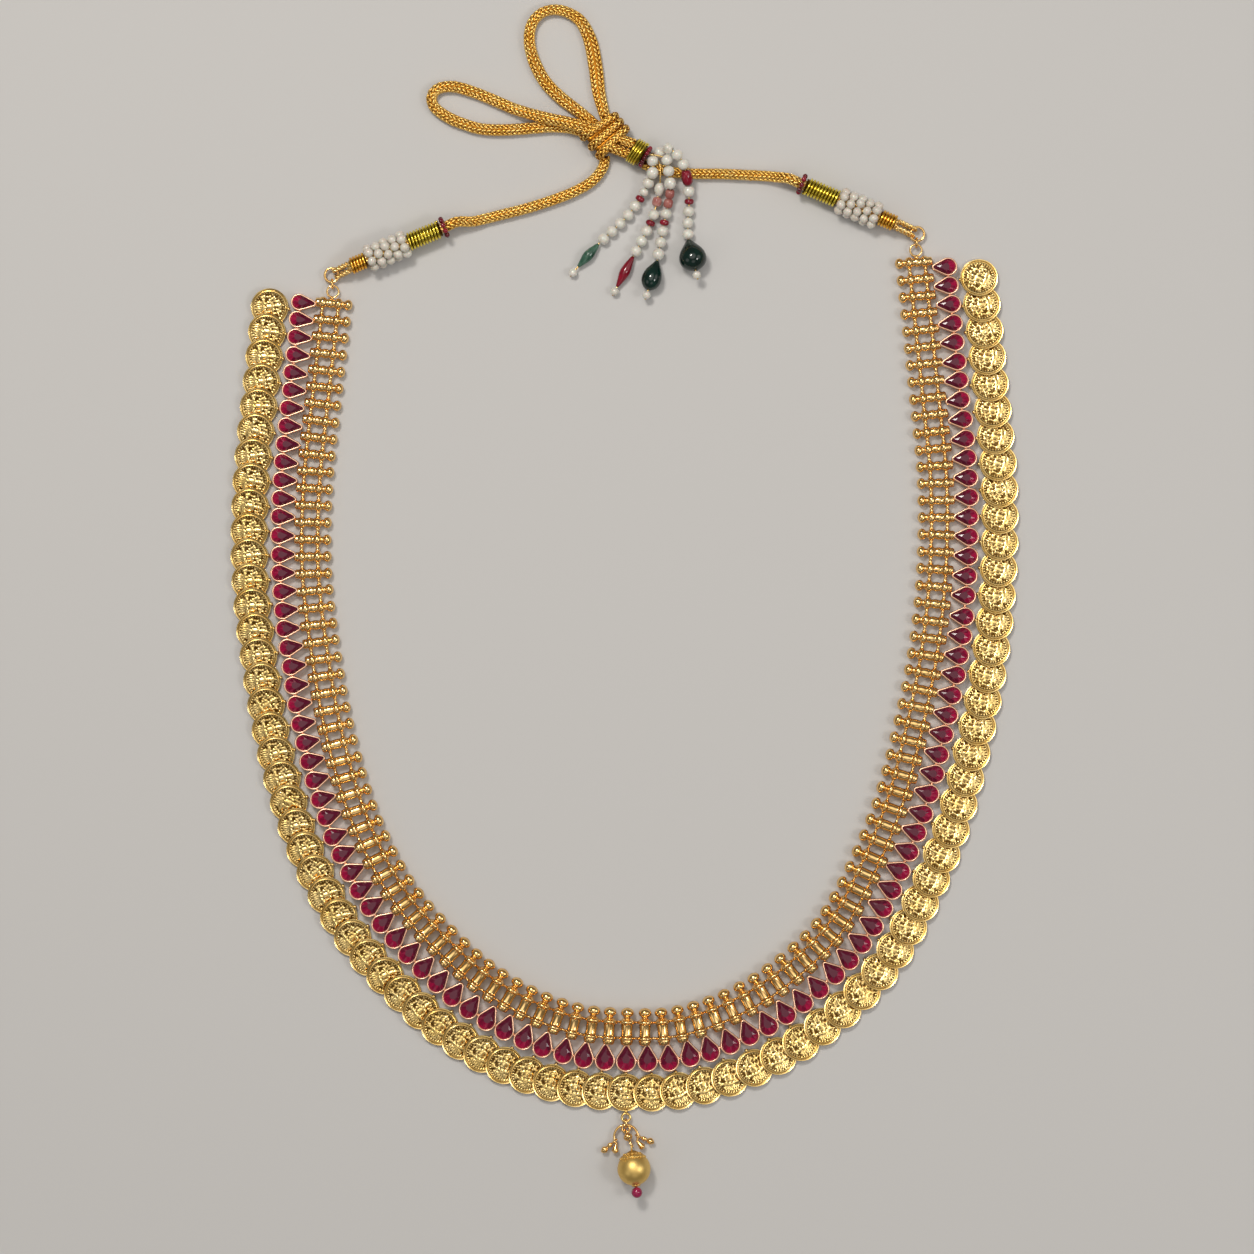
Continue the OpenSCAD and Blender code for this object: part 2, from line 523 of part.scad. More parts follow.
// Two loops of thread hold the jump ring and run into the bundle under the wrapping.
loop_bend = ring_wire / 2 + link_play + 0.1 + loop_thread / 2;
loop_side = 0.45;
core_before = 0.8;
function loop_level(k) = loops_l(k) - jump_ring_r - 0.35;
function loop_slope(k) = atan2(axis_z - ring_z, loop_level(k));
module thread_hairpin(run) {
  rotate([90, 0, 0]) {
    rotate([0, 0, 90]) rotate_extrude(angle = 180, $fn = 32)
      translate([loop_bend, 0]) circle(d = loop_thread, $fn = 16);
    for (y = [-1, 1]) translate([0, y * loop_bend, 0]) rotate([0, 90, 0])
      cylinder(h = run, d = loop_thread, $fn = 16);
  }
}
module thread_loop(k) {
  p = jump_at(k) + jump_ring_r * dir(wrap_turn[k]);
  color("gold") {
    on_axis(k, loops_l(k) - core_before)
      cylinder(h = core_to(k) - loops_l(k) + core_before, d = core_d, $fn = 32);
    translate([p.x, p.y, ring_z]) rotate(wrap_turn[k]) for (y = [-1, 1])
      translate([0, y * loop_side, 0]) rotate([0, -loop_slope(k), 0])
        thread_hairpin(loop_level(k) / cos(loop_slope(k)) + 0.2);
  }
}
module thread_loop_left() { thread_loop(0); }
module thread_loop_right() { thread_loop(1); }

// A wrap of wire: its outside is scalloped by the turns.
module wrap(l, d, turns) {
  step = l / turns;
  groove = min(step, 1) * 0.25;
  rotate_extrude($fn = 32) polygon(concat([[bore_r, 0]],
    [for (i = [0:turns - 1]) for (q = [[-groove, 0], [0, 0.3], [0, 0.7]]) [d / 2 + q.x, (i + q.y) * step]],
    [[d / 2 - groove, l], [bore_r, l]]));
}
module short_wrap_left() { color("goldenrod") on_axis(0, loops_l(0)) wrap(short_wrap_l, short_wrap_d, 6); }
module short_wrap_right() { color("goldenrod") on_axis(1, loops_l(1)) wrap(short_wrap_l, short_wrap_d, 6); }
module coil_wrap_left() { color("khaki") on_axis(0, coil_wrap_from(0)) wrap(coil_wrap_l, coil_wrap_d, 12); }
module coil_wrap_right() { color("khaki") on_axis(1, coil_wrap_from(1)) wrap(coil_wrap_l, coil_wrap_d, 12); }

// The sleeve has the outer form of its rings of seed pearls.
module pearl_sleeve() {
  rotate_extrude($fn = 32) polygon(concat([[bore_r, 0]],
    [for (i = [0:sleeve_rows - 1]) for (b = [-75:30:75])
      [seed_line + seed_d / 2 * cos(b), (i + 0.5) * seed_d + seed_d / 2 * sin(b)]],
    [[bore_r, sleeve_l]]));
}
module pearl_sleeve_left() { color("ivory") on_axis(0, sleeve_from(0)) pearl_sleeve(); }
module pearl_sleeve_right() { color("ivory") on_axis(1, sleeve_from(1)) pearl_sleeve(); }

module red_ring(k) {
  color("darkred") on_axis(k, red_ring_from(k) + red_seed_d / 2)
    rotate_extrude($fn = 32) translate([bore_r + red_seed_d / 2, 0]) circle(d = red_seed_d, $fn = 16);
}
module red_ring_left() { red_ring(0); }
module red_ring_right() { red_ring(1); }

// A tube of n sides along a route, flattened where the route says so.
function across(t) = unit(cross([0, 0, 1], t));
module tube(route, d, n) {
  m = len(route) - 1;
  path = [for (p = route) [p.x, p.y, p.z]];
  flat = [for (p = route) len(p) > 3 ? p[3] : 1];
  points = [for (i = [0:m]) let (t = ahead(path, i), a = across(t), b = cross(t, a))
    for (k = [0:n - 1]) let (c = (k + 0.5) * 360 / n)
      path[i] + d / 2 * (flat[i] * cos(c) * a + sin(c) / flat[i] * b)];
  sides = [for (i = [0:m - 1]) for (k = [0:n - 1]) let (j = (k + 1) % n)
    [i * n + k, (i + 1) * n + k, (i + 1) * n + j, i * n + j]];
  first = [for (k = [0:n - 1]) k];
  last = [for (k = [n - 1:-1:0]) m * n + k];
  polyhedron(points, concat(sides, [first, last]));
}
// The free cord starts where the wrapped threads end, and leaves them along their own axis.
function core_exit(k) = [for (t = [0.02, 3]) let (p = jump_at(k) + (core_to(k) + t) * dir(wrap_turn[k]))
  [p.x, p.y, axis_z, 1]];
module cord_left() { color("orange") tube(concat(core_exit(0), cord_left_route), cord_d, 8); }
module cord_right() {
  end = [for (p = cord_right_end) p + [cap_at.x, cap_at.y, 0, 0]];
  color("orange") tube(concat(core_exit(1), cord_right_route, end), cord_d, 8);
}
module bow_loop_left() { color("orange") tube(bow_left_route, cord_d, 8); }
module bow_loop_top() { color("orange") tube(bow_top_route, cord_d, 8); }

// Each tail runs from the knot's side into the cap. Both numbers say how far it lies beside the cap's axis.
function tail_route(at_knot, at_cap) = let (c = dir(cap_turn), a = [-c.y, c.x], n = dir(knot_turn - 90),
    start = (knot_half - at_knot * (a * n)) / (c * n) - tail_sink,
    p = knot_at + start * c + at_knot * a, q = cap_at - (cap_l / 2 - tail_sink) * c + at_cap * a)
  [for (t = [0, 0.5, 1]) let (m = p + t * (q - p)) [m.x, m.y, tail_z, 1]];
module cord_tail(side) {
  at_cap = side * tail_apart / 2;
  color("orange") tube(tail_route(at_cap - tail_shift, at_cap), cord_d, 8);
}
module cord_tail_upper() { cord_tail(1); }
module cord_tail_lower() { cord_tail(-1); }

// The knot: two upright wraps of cord round the bundle, which fills the space between them.
module knot_wrap(l, h, w) {
  rotate([90, 0, 0]) translate([0, 0, -w / 2]) linear_extrude(w) {
    square([l - h, h], center = true);
    for (x = [-1, 1]) translate([x * (l - h) / 2, 0]) circle(d = h, $fn = 32);
  }
}
module knot() {
  color("orange") translate([knot_at.x, knot_at.y, knot_h / 2]) rotate(knot_turn) {
    for (y = [-1, 1]) translate([0, y * knot_step / 2, 0]) knot_wrap(knot_l, knot_h, knot_w);
    knot_wrap(knot_l - cord_d, knot_h - 1, knot_step);
  }
}

module on_cap(along) {
  p = cap_at + along * dir(cap_turn);
  translate([p.x, p.y, cap_d / 2]) rotate([0, 90, cap_turn]) children();
}
module tassel_cap() {
  turns = 6;
  step = cap_l / turns;
  color("khaki") on_cap(-cap_l / 2) rotate_extrude($fn = 32) polygon(concat([[0, 0]],
    [for (i = [0:turns - 1]) for (q = [[-0.15, 0], [0, 0.3], [0, 0.7]]) [cap_d / 2 + q.x, (i + q.y) * step]],
    [[cap_d / 2 - 0.15, cap_l], [0, cap_l]]));
}
module tassel_band() {
  color("firebrick") on_cap(cap_l / 2 + 0.1) rotate_extrude($fn = 32)
    polygon([[0, 0], [band_d / 2 - 0.2, 0], [band_d / 2, 0.3], [band_d / 2, band_l - 0.3],
      [band_d / 2 - 0.4, band_l], [0, band_l]]);
}

// Beads strung on a thread: each is turned along the thread and drilled for it.
strand_lines = [for (r = strand_routes) smooth([for (p = r) p + [cap_at.x, cap_at.y, 0]], 4)];
strand_ways = [for (l = strand_lines) way(l)];
strand_tables = [for (i = [0:3]) tables(strand_lines[i], strand_ways[i])];
function bead_l(kind) = bead_sizes[search([kind], bead_sizes)[0]][1];
function bead_w(kind) = bead_sizes[search([kind], bead_sizes)[0]][2];
function bead_starts(b) =
  [for (i = 0, s = b[0][1]; i < len(b);
    s = s + bead_l(b[i][0]) + bead_gap + (i < len(b) - 1 ? b[i + 1][1] : 0), i = i + 1) s];
function on_thread(i, s) = [for (t = strand_tables[i]) lookup(s, t)];
function bead_bore(kind) = thread_d / 2 + (is_drop(kind) ? drop_play : thread_play);
module along_thread(i, s) {
  d = unit(on_thread(i, s + 0.5) - on_thread(i, s - 0.5));
  translate(on_thread(i, s)) rotate([0, acos(d.z), atan2(d.y, d.x)]) children();
}
module bead(kind) {
  l = bead_l(kind);
  r = bead_w(kind) / 2;
  rotate_extrude($fn = 32)
    polygon([for (q = bead_profile(kind)) [max(q.x * r, bead_bore(kind)), (q.y - 0.5) * l]]);
}
// Profiles of the beads: share of the radius and share of the length.
function bead_profile(kind) =
  kind == "spindle" || kind == "long_spindle" ? [[0, 0], [0.3, 0], [0.55, 0.12], [0.85, 0.3], [1, 0.5],
    [0.85, 0.7], [0.55, 0.88], [0.3, 1], [0, 1]] :
  kind == "slim" || kind == "fat" ? [[0, 0], [0.2, 0], [0.36, 0.1], [0.66, 0.26], [0.92, 0.44], [1, 0.6],
    [0.94, 0.78], [0.7, 0.92], [0.36, 1], [0, 1]] :
  kind == "red" || kind == "rose" || kind == "long" ? [[0, 0], [0.6, 0], [0.86, 0.12], [1, 0.35], [1, 0.65],
    [0.86, 0.88], [0.6, 1], [0, 1]] :
  [[0, 0.02], [0.44, 0.02], [0.75, 0.15], [0.93, 0.31], [1, 0.5], [0.93, 0.69], [0.75, 0.85], [0.44, 0.98],
    [0, 0.98]];
function is_drop(kind) = len([for (k = ["spindle", "long_spindle", "slim", "fat"]) if (k == kind) k]) > 0;
module strand(i, drops) {
  b = strand_beads[i];
  s = bead_starts(b);
  for (k = [0:len(b) - 1]) if (is_drop(b[k][0]) == drops)
    along_thread(i, s[k] + bead_l(b[k][0]) / 2) bead(b[k][0]);
}
module strand_thread(i) {
  b = strand_beads[i];
  s = bead_starts(b);
  l = s[len(s) - 1] + bead_l("end") + 0.15;
  n = ceil(l / 1.6);
  color("gold") tube([for (k = [0:n]) on_thread(i, l * k / n)], thread_d, 6);
}
module tassel_thread_1() { strand_thread(0); }
module tassel_thread_2() { strand_thread(1); }
module tassel_thread_3() { strand_thread(2); }
module tassel_thread_4() { strand_thread(3); }
module tassel_beads_1() { color("ivory") strand(0, false); }
module tassel_beads_2() { color("ivory") strand(1, false); }
module tassel_beads_3() { color("ivory") strand(2, false); }
module tassel_beads_4() { color("ivory") strand(3, false); }
module tassel_drop_1() { color("seagreen") strand(0, true); }
module tassel_drop_2() { color("crimson") strand(1, true); }
module tassel_drop_3() { color("darkgreen") strand(2, true); }
module tassel_drop_4() { color("darkgreen") strand(3, true); }

// An upright link joins the coin's eye to the small ring on top of the hoop.
pendant_apart = pendant_wire + 0.35;
pendant_link_r = (pendant_apart + pendant_wire) / 2 + pendant_play + pendant_wire / 2;
pendant_link_y = eye_y - eye_r - pendant_apart / 2;
small_ring_r = 0.95;
long_link_wire = 0.65;
small_ring_y = pendant_link_y - pendant_apart / 2 - small_ring_r;
hoop_r = (hoop_d - pendant_wire) / 2;
hoop_y = small_ring_y + small_ring_r - hoop_r;
module wire_ring(r) { rotate_extrude($fn = 32) translate([r, 0]) circle(d = pendant_wire, $fn = 16); }
module pendant_link() {
  color("goldenrod") translate([0, pendant_link_y, pendant_z]) rotate([90, 0, 90]) wire_ring(pendant_link_r);
}
// The hoop is open below: two arms curve down from the small ring and end in solder balls.
module hoop_arm(from, to) {
  rotate(from) rotate_extrude(angle = to - from, $fn = 48)
    translate([hoop_r, 0]) circle(d = pendant_wire, $fn = 16);
  for (a = [from, to]) rotate(a) translate([hoop_r, 0, 0]) sphere(d = 0.75, $fn = 16);
}
// Angles on the hoop: where each arm starts and ends, then where each cone sits and the way it points.
hoop_arms = [[105, 214], [-22, 75]];
hoop_cones = [[hoop_arms[0][1], 263], [hoop_arms[1][0], 313]];
// A small cone is soldered to the end of each arm.
module soldered_cone(on_hoop, turn) {
  rotate(on_hoop) translate([hoop_r, 0, 0]) rotate([0, 90, turn - on_hoop]) rotate_extrude($fn = 24)
    polygon([[0, 0], [0.3, 0], [0.45, 0.6], [charm_d / 2, 1.7], [charm_d / 2, 2], [0.5, 2.4], [0, 2.5]]);
}
module pendant_hoop() {
  color("goldenrod") translate([0, 0, pendant_z]) {
    translate([0, small_ring_y, 0]) wire_ring(small_ring_r);
    translate([0, hoop_y, 0]) {
      for (a = hoop_arms) hoop_arm(a[0], a[1]);
      for (c = hoop_cones) soldered_cone(c[0], c[1]);
    }
  }
}

// The ball leans on the table with its eye a little lower than its middle.
ball_at = [2, -26.6, pendant_ball_d / 2];
ball_turn = 97;
ball_dip = 8;
ball_eye_r = 0.85;
cap_thick = 0.35;
module on_ball() { translate(ball_at) rotate([0, 90 + ball_dip, ball_turn]) children(); }
ball_eye_at = pendant_ball_d / 2 + cap_thick + ball_eye_r;
module pendant_ball() {
  r = pendant_ball_d / 2;
  color("gold") on_ball() {
    sphere(r, $fn = 64);
    intersection() {
      sphere(r + cap_thick, $fn = 64);
      translate([0, 0, r * 0.68]) cylinder(h = r, r = r, $fn = 64);
    }
    translate([0, 0, ball_eye_at]) rotate([0, 90, 0]) wire_ring(ball_eye_r);
    translate([0, 0, -r - 0.3]) cylinder(h = 0.8, r = 0.9, $fn = 32);
    translate([0, 0, -r - 0.2 - pendant_bead_d / 2]) cylinder(h = 2, r = 0.3, $fn = 16);
  }
}
module pendant_bead() {
  color("crimson") on_ball() translate([0, 0, -pendant_ball_d / 2 - 0.4 - pendant_bead_d / 2]) difference() {
    sphere(d = pendant_bead_d, $fn = 32);
    cylinder(h = 2 * pendant_bead_d, r = 0.4, $fn = 16);
  }
}
// A long link: two half rings and two straight wires. Its centreline reaches from x = 0 to x = l.
module long_link(l, r) {
  for (e = [[l - r, -90], [r, 90]]) translate([e[0], 0, 0]) rotate(e[1]) rotate_extrude(angle = 180, $fn = 32)
    translate([r, 0]) circle(d = long_link_wire, $fn = 16);
  for (y = [-r, r]) translate([r, y, 0]) rotate([0, 90, 0])
    cylinder(h = l - 2 * r, d = long_link_wire, $fn = 16);
}
// It stands upright and slants from the small ring up to the eye of the ball.
module pendant_link_lower() {
  low = [0, small_ring_y - small_ring_r, pendant_z];
  reach = ball_eye_at + ball_eye_r;
  high = ball_at + reach * [cos(ball_dip) * cos(ball_turn), cos(ball_dip) * sin(ball_turn), -sin(ball_dip)];
  v = high - low;
  hold = (pendant_wire + long_link_wire) / 2 + pendant_play;
  color("goldenrod") translate(low) rotate([0, -asin(v.z / norm(v)), atan2(v.y, v.x)]) rotate([90, 0, 0])
    translate([-hold, 0, 0]) long_link(norm(v) + 2 * hold, hold + 0.08);
}

// A small bell hangs from each arm of the hoop by a ring of its own.
charm_ring_r = 0.8;
charms = [[200, 221], [4, 337]];
module charm(on_hoop, turn) {
  p = [0, hoop_y] + hoop_r * dir(on_hoop);
  translate([p.x, p.y, pendant_z]) rotate([0, 90, turn]) translate([0, 0, charm_ring_r * 0.2]) {
    rotate([90, 0, 0]) wire_ring(charm_ring_r);
    translate([0, 0, charm_ring_r]) rotate_extrude($fn = 24)
      polygon([[0, 0], [0.3, 0], [0.6, 0.7], [0.35, 1.5], [charm_d / 2 - 0.25, 1.8], [charm_d / 2, 2.4],
        [charm_d / 2 - 0.2, 3], [0.35, 3.35], [0, 3.4]]);
  }
}
module pendant_charms() { color("gold") for (c = charms) charm(c[0], c[1]); }

bead_band_left();
bead_band_right();
setting_strip_left();
setting_strip_right();
rubies_left();
rubies_right();
coins_left();
coins_right();
end_link_left();
end_link_right();
jump_ring_left();
jump_ring_right();
thread_loop_left();
thread_loop_right();
short_wrap_left();
short_wrap_right();
pearl_sleeve_left();
pearl_sleeve_right();
coil_wrap_left();
coil_wrap_right();
red_ring_left();
red_ring_right();
cord_left();
cord_right();
bow_loop_left();
bow_loop_top();
cord_tail_upper();
cord_tail_lower();
knot();
tassel_cap();
tassel_band();
tassel_thread_1();
tassel_thread_2();
tassel_thread_3();
tassel_thread_4();
tassel_beads_1();
tassel_beads_2();
tassel_beads_3();
tassel_beads_4();
tassel_drop_1();
tassel_drop_2();
tassel_drop_3();
tassel_drop_4();
pendant_link();
pendant_hoop();
pendant_link_lower();
pendant_ball();
pendant_bead();
pendant_charms();
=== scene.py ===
"""The looks of a temple jewellery necklace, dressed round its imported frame.

Lengths are millimetres in every function. Soup.piece turns them into metres.
"""
import math

import bpy
import numpy as np
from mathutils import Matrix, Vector


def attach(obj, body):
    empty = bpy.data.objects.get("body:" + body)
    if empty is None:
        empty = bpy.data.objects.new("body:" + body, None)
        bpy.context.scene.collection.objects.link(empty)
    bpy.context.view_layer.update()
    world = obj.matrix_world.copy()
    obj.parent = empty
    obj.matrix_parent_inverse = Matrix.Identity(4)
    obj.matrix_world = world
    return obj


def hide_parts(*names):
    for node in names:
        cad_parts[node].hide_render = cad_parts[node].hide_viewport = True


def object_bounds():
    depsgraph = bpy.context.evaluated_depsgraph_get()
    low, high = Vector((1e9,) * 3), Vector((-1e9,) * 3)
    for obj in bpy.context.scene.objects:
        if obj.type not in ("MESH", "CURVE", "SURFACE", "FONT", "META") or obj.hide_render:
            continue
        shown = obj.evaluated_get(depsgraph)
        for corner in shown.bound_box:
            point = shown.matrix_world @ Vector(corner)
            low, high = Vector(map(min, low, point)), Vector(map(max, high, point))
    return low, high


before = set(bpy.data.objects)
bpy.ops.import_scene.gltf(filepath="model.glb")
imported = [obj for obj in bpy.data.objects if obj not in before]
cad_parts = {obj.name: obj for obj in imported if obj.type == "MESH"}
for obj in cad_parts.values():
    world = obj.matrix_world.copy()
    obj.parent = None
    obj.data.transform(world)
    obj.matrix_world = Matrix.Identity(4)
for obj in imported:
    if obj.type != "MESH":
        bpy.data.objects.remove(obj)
cad_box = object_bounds()
rng = np.random.default_rng(11)

# The photograph: its width in pixels, one pixel in millimetres, and the pixel of the frame's origin.
PHOTO_PX = 1254
PX_MM = 0.25
ORIGIN_PX = (626, 1062)

# Sizes of the frame's pieces. A pair holds left and right, or the middle and the ends of the necklace.
BARS = (51, 53)
FLANGE_D = (4.0, 2.8)
FOOT_REACH = 3.05
PIN_D = 0.8
STONES = (48, 48)
SETTING_L = (6.85, 6.3)
SETTING_H = 2.6
SETTING_GAP = 0.25
TIP_R = 0.75
STONE_RISE = 0.7
COINS = (39, 38)
COIN_D = 9.4
COIN_T = 0.8
COIN_FIELD = 0.5
COIN_CLEAR = 0.16
COIN_GAP = 0.55
RING_WIRE = 0.5
LINK_SHOWN, JUMP_SHOWN = 0.6, 0.62
CHAIN_GAP = 0.4
END_RING_D = 3.4
JUMP_RING_D = 4.0
LINK_PLAY = 0.15
LOOPS_L = (5.2, 6.1)
CORE_D = 2.7
STACK_GAP = 0.15
# Length, diameter, turns and wire of each wrap
SHORT_WRAP = (4.3, 4.3, 4.6, 0.68)
COIL_WRAP = (8.9, 4.7, 10, 0.6)
SEED_D = 2.2
SEED_ROWS = 5
SEEDS_A_ROW = 7
SEED_SQUASH = 0.9
SEED_SHOWN = (1.06, 1.14)
RED_SEED_D = 1.4
RED_SEEDS = 9
CORD_D = 2.8
KNOT_L, KNOT_W, KNOT_H, KNOT_STEP = 12.2, 3.2, 6.2, 4.1
CAP_D, CAP_L, CAP_TURNS, CAP_WIRE = 6.8, 3.2, 4.1, 0.5
THREAD_D = 0.4
BEAD_GAP = 0.12
PENDANT_WIRE = 0.45
PENDANT_SHOWN = 0.6
LINK_BEAD = (2.3, 1.8)
LONG_LINK_WIRE = 0.65

# Lines and routes of the frame, in its own points
BAND_ROUTE = [(-79.5, 208), (-81.3, 190), (-83.7, 168), (-86, 146), (-86.5, 124), (-84.4, 103), (-80.2, 79),
              (-73.2, 56), (-62.5, 36), (-47.4, 19.6), (-36.3, 11), (-24.2, 4.7), (-12, 1), (0, 0), (12, 0.3),
              (24.2, 3.5), (36.4, 9.3), (47.8, 17.6), (58, 28), (65.4, 40.4), (73.8, 60), (79.4, 81),
              (83.6, 103), (85.6, 125), (85.6, 146), (83.5, 168), (80.3, 199), (78.5, 217)]
ROUTE_MIDDLE = 13
ROUTE_STEPS = 6
BAR_ENDS = (17.6, 16.3, 0.03, 0.03)
STONE_ENDS = (18.1, 18.1, 0.1, 0.06)
COIN_ENDS = (20, 21.7, 0, 0)
CHAIN_TURN = (94, 85)
WRAP_TURN = (22.7, 157)
END_REACH = 3
END_RING_Y = (-0.3, -0.6)
CORD_LEFT = [(-38.4, 210.2, 2.1, 1), (-35, 211, 1.4, 1), (-31, 212, 1.4, 1), (-24, 213.8, 1.4, 1),
             (-17, 216.1, 1.4, 1), (-12, 218.2, 1.4, 1), (-8, 220.8, 1.4, 1), (-5.7, 224, 1.4, 1),
             (-5.3, 226.4, 1.4, 1)]
CORD_RIGHT = [(37.6, 221.3, 2.3, 1), (34, 221.7, 1.4, 1), (30, 221.9, 1.4, 1), (23, 222.2, 1.4, 1),
              (17, 222.2, 1.4, 1), (12, 222.6, 1.4, 1), (8.4, 223.3, 1.4, 1)]
CORD_RIGHT_END = [(3.35, -3.45, 1.5, 1), (1.75, -2.65, 1.7, 1)]
BOW_LEFT = [(-9.7, 232.2, 1.45, 1), (-13.5, 233.6, 1.4, 1.1), (-18.5, 234, 1.4, 1.1), (-24, 233.6, 1.4, 1.1),
            (-30, 233.2, 1.4, 1.1), (-36, 233.4, 1.4, 1.1), (-41, 234.8, 1.4, 1.1), (-45, 236.6, 1.4, 1.1),
            (-48, 239, 1.4, 1.05), (-48.6, 241.6, 1.4, 1), (-46.8, 243.6, 1.4, 1.05), (-43, 244, 1.4, 1.1),
            (-38, 242.6, 1.4, 1.1), (-33, 240.6, 1.4, 1.1), (-28, 238.4, 1.9, 1.1), (-23, 236.8, 3, 1.1),
            (-18.5, 235.6, 4.1, 1.1), (-13.5, 234.5, 4.5, 1.1), (-8.9, 233.2, 4.4, 1.1)]
BOW_TOP = [(-7.4, 234.2, 1.5, 1), (-11.8, 237.8, 1.4, 1.15), (-16.3, 241.2, 1.3, 1.25), (-20.3, 245.3, 1.3, 1.25),
           (-23, 250.4, 1.3, 1.2), (-24.2, 255.3, 1.4, 1.1), (-23.6, 259.6, 1.4, 1.05), (-21.2, 262.4, 1.4, 1),
           (-17.7, 263.3, 1.4, 1), (-14.2, 262.4, 1.4, 1.05), (-11.2, 260.2, 1.4, 1.15), (-8.9, 255.4, 1.3, 1.35),
           (-7.6, 248.8, 1.2, 1.4), (-6.8, 242.5, 1.3, 1.3), (-5.2, 236.2, 1.5, 1)]
KNOT_AT = (-5.03, 231.9)
KNOT_TURN = 40
CAP_TURN = -30
TAIL_L, TAIL_APART, TAIL_SINK, TAIL_SHIFT, TAIL_RISE = 3.6, 2.9, 0.4, 0.83, 0.7
# Routes of the tassel's threads: x and y from the cap's middle, and z
STRANDS = [
    [(2.95, -0.95, 3.9), (3.85, -2.35, 4.35), (3.75, -5.35, 4.3), (2.45, -8.15, 2.6), (0.75, -11.35, 1.7),
     (-2.25, -15.45, 1.5), (-4.85, -18.15, 1.5), (-9.35, -22.35, 1.5), (-10.35, -23.45, 1.4),
     (-15.35, -29.05, 1.4), (-16.85, -30.95, 1.3), (-17.85, -32.25, 1.3)],
    [(2.85, -1.25, 2.9), (4.15, -1.55, 2.7), (5.25, -2.15, 2.9), (5.75, -3.75, 3.4), (5.75, -5.95, 3.3),
     (5.55, -8.85, 1.8), (4.85, -12.35, 1.5), (3.75, -16.35, 1.5), (1.85, -20.45, 1.5), (-0.85, -25.55, 1.5),
     (-1.85, -27.35, 1.4), (-5.45, -34.15, 1.4), (-6.45, -36.15, 1.3), (-7.65, -38.35, 1.3)],
    [(3.05, -0.75, 5.6), (5.55, -1.05, 5.2), (7.45, -2.1, 4.45), (7.85, -5.35, 4.4), (8.25, -8.45, 3.9),
     (7.95, -11.45, 2.2), (6.95, -16.45, 1.55), (6.05, -21.15, 1.5), (5.35, -24.95, 1.8), (4.95, -27.15, 2.1),
     (3.35, -32.15, 2.55), (2.35, -35.35, 2.8), (1.45, -38.35, 3)],
    [(3.45, -0.35, 2.9), (5.55, 0.05, 3.4), (7.55, 0.9, 4.85), (9.75, -0.55, 5.4), (11.35, -2.85, 4.9),
     (12.35, -6.15, 4.1), (12.85, -9.95, 2.3), (12.95, -12.75, 1.6), (12.65, -16.95, 1.5),
     (12.65, -20.45, 1.7), (12.85, -21.95, 2.1), (13.75, -25.95, 3.2), (14.65, -29.95, 4.3),
     (15.25, -32.65, 5.05)]]
# Beads of each strand: kind, and the bare thread before it
STRAND_BEADS = [
    [("pearl", 0.2), ("big", 0), ("pearl", 0), ("small", 0), ("red", 0)] + [("pearl", 0)] * 5
    + [("green_spindle", 0.3), ("end", 0.8)],
    [("egg", 8.4), ("rose", 0), ("pearl", 0.7), ("red", 0)] + [("pearl", 0)] * 3
    + [("red_spindle", 0), ("end", 0.1)],
    [("pearl", 3.4), ("pearl", 0), ("big", 0), ("rose", 0), ("rose", 0), ("pearl", 0), ("red", 0),
     ("pearl", 0), ("pearl", 0), ("big", 0), ("slim", 0), ("end", 0.1)],
    [("pearl", 0.8)] + [("pearl", 0)] * 3 + [("long", 0), ("big", 0), ("red", 0.3), ("pearl", 0.3),
     ("pearl", 0), ("pearl", 0), ("fat", 0), ("end", 0.1)]]
# Length, diameter and outline of each kind
BEADS = {"pearl": (2.75, 2.9, "ball"), "big": (3.1, 3.0, "ball"), "egg": (3.6, 2.6, "egg"),
         "small": (2.2, 2.4, "ball"), "end": (2.1, 2.1, "ball"), "red": (1.4, 2.4, "drum"),
         "rose": (2.4, 2.4, "drum"), "long": (3.9, 2.8, "drum"), "green_spindle": (7.6, 2.6, "spindle"),
         "red_spindle": (8.6, 2.6, "spindle"), "slim": (7.8, 5.0, "drop"), "fat": (8.2, 6.9, "drop")}


SIDES = ("left", "right")


def sign(k):
    """-1 to the left, 1 to the right."""
    return 2 * k - 1


# Small vector helpers
def unit(v):
    v = np.asarray(v, float)
    return v / np.maximum(np.linalg.norm(v, axis=-1, keepdims=True), 1e-9)


def direction(angle):
    a = math.radians(angle)
    return np.array([math.cos(a), math.sin(a)])


def smooth(points, steps):
    """The same smooth line through chosen points as the frame's."""
    p = np.asarray(points, float)
    m = len(p) - 1
    out = []
    for i in range(m):
        a, b, c, d = p[max(i - 1, 0)], p[i], p[i + 1], p[min(i + 2, m)]
        for k in range(steps):
            t = k / steps
            out.append(0.5 * (2 * b + (c - a) * t + (2 * a - 5 * b + 4 * c - d) * t ** 2
                              + (3 * b - a - 3 * c + d) * t ** 3))
    return np.array(out + [p[m]])


def way(line):
    """The length along a line up to each of its points."""
    return np.concatenate([[0], np.cumsum(np.linalg.norm(np.diff(line[:, :3], axis=0), axis=1))])


def along(line, s):
    """Points of a line at the lengths s."""
    w = way(line)
    return np.stack([np.interp(s, w, line[:, k]) for k in range(line.shape[1])], axis=-1)


def evenly(line, step):
    """The line again, with points about a step apart."""
    total = way(line)[-1]
    return along(line, np.linspace(0, total, max(int(round(total / step)), 2) + 1))


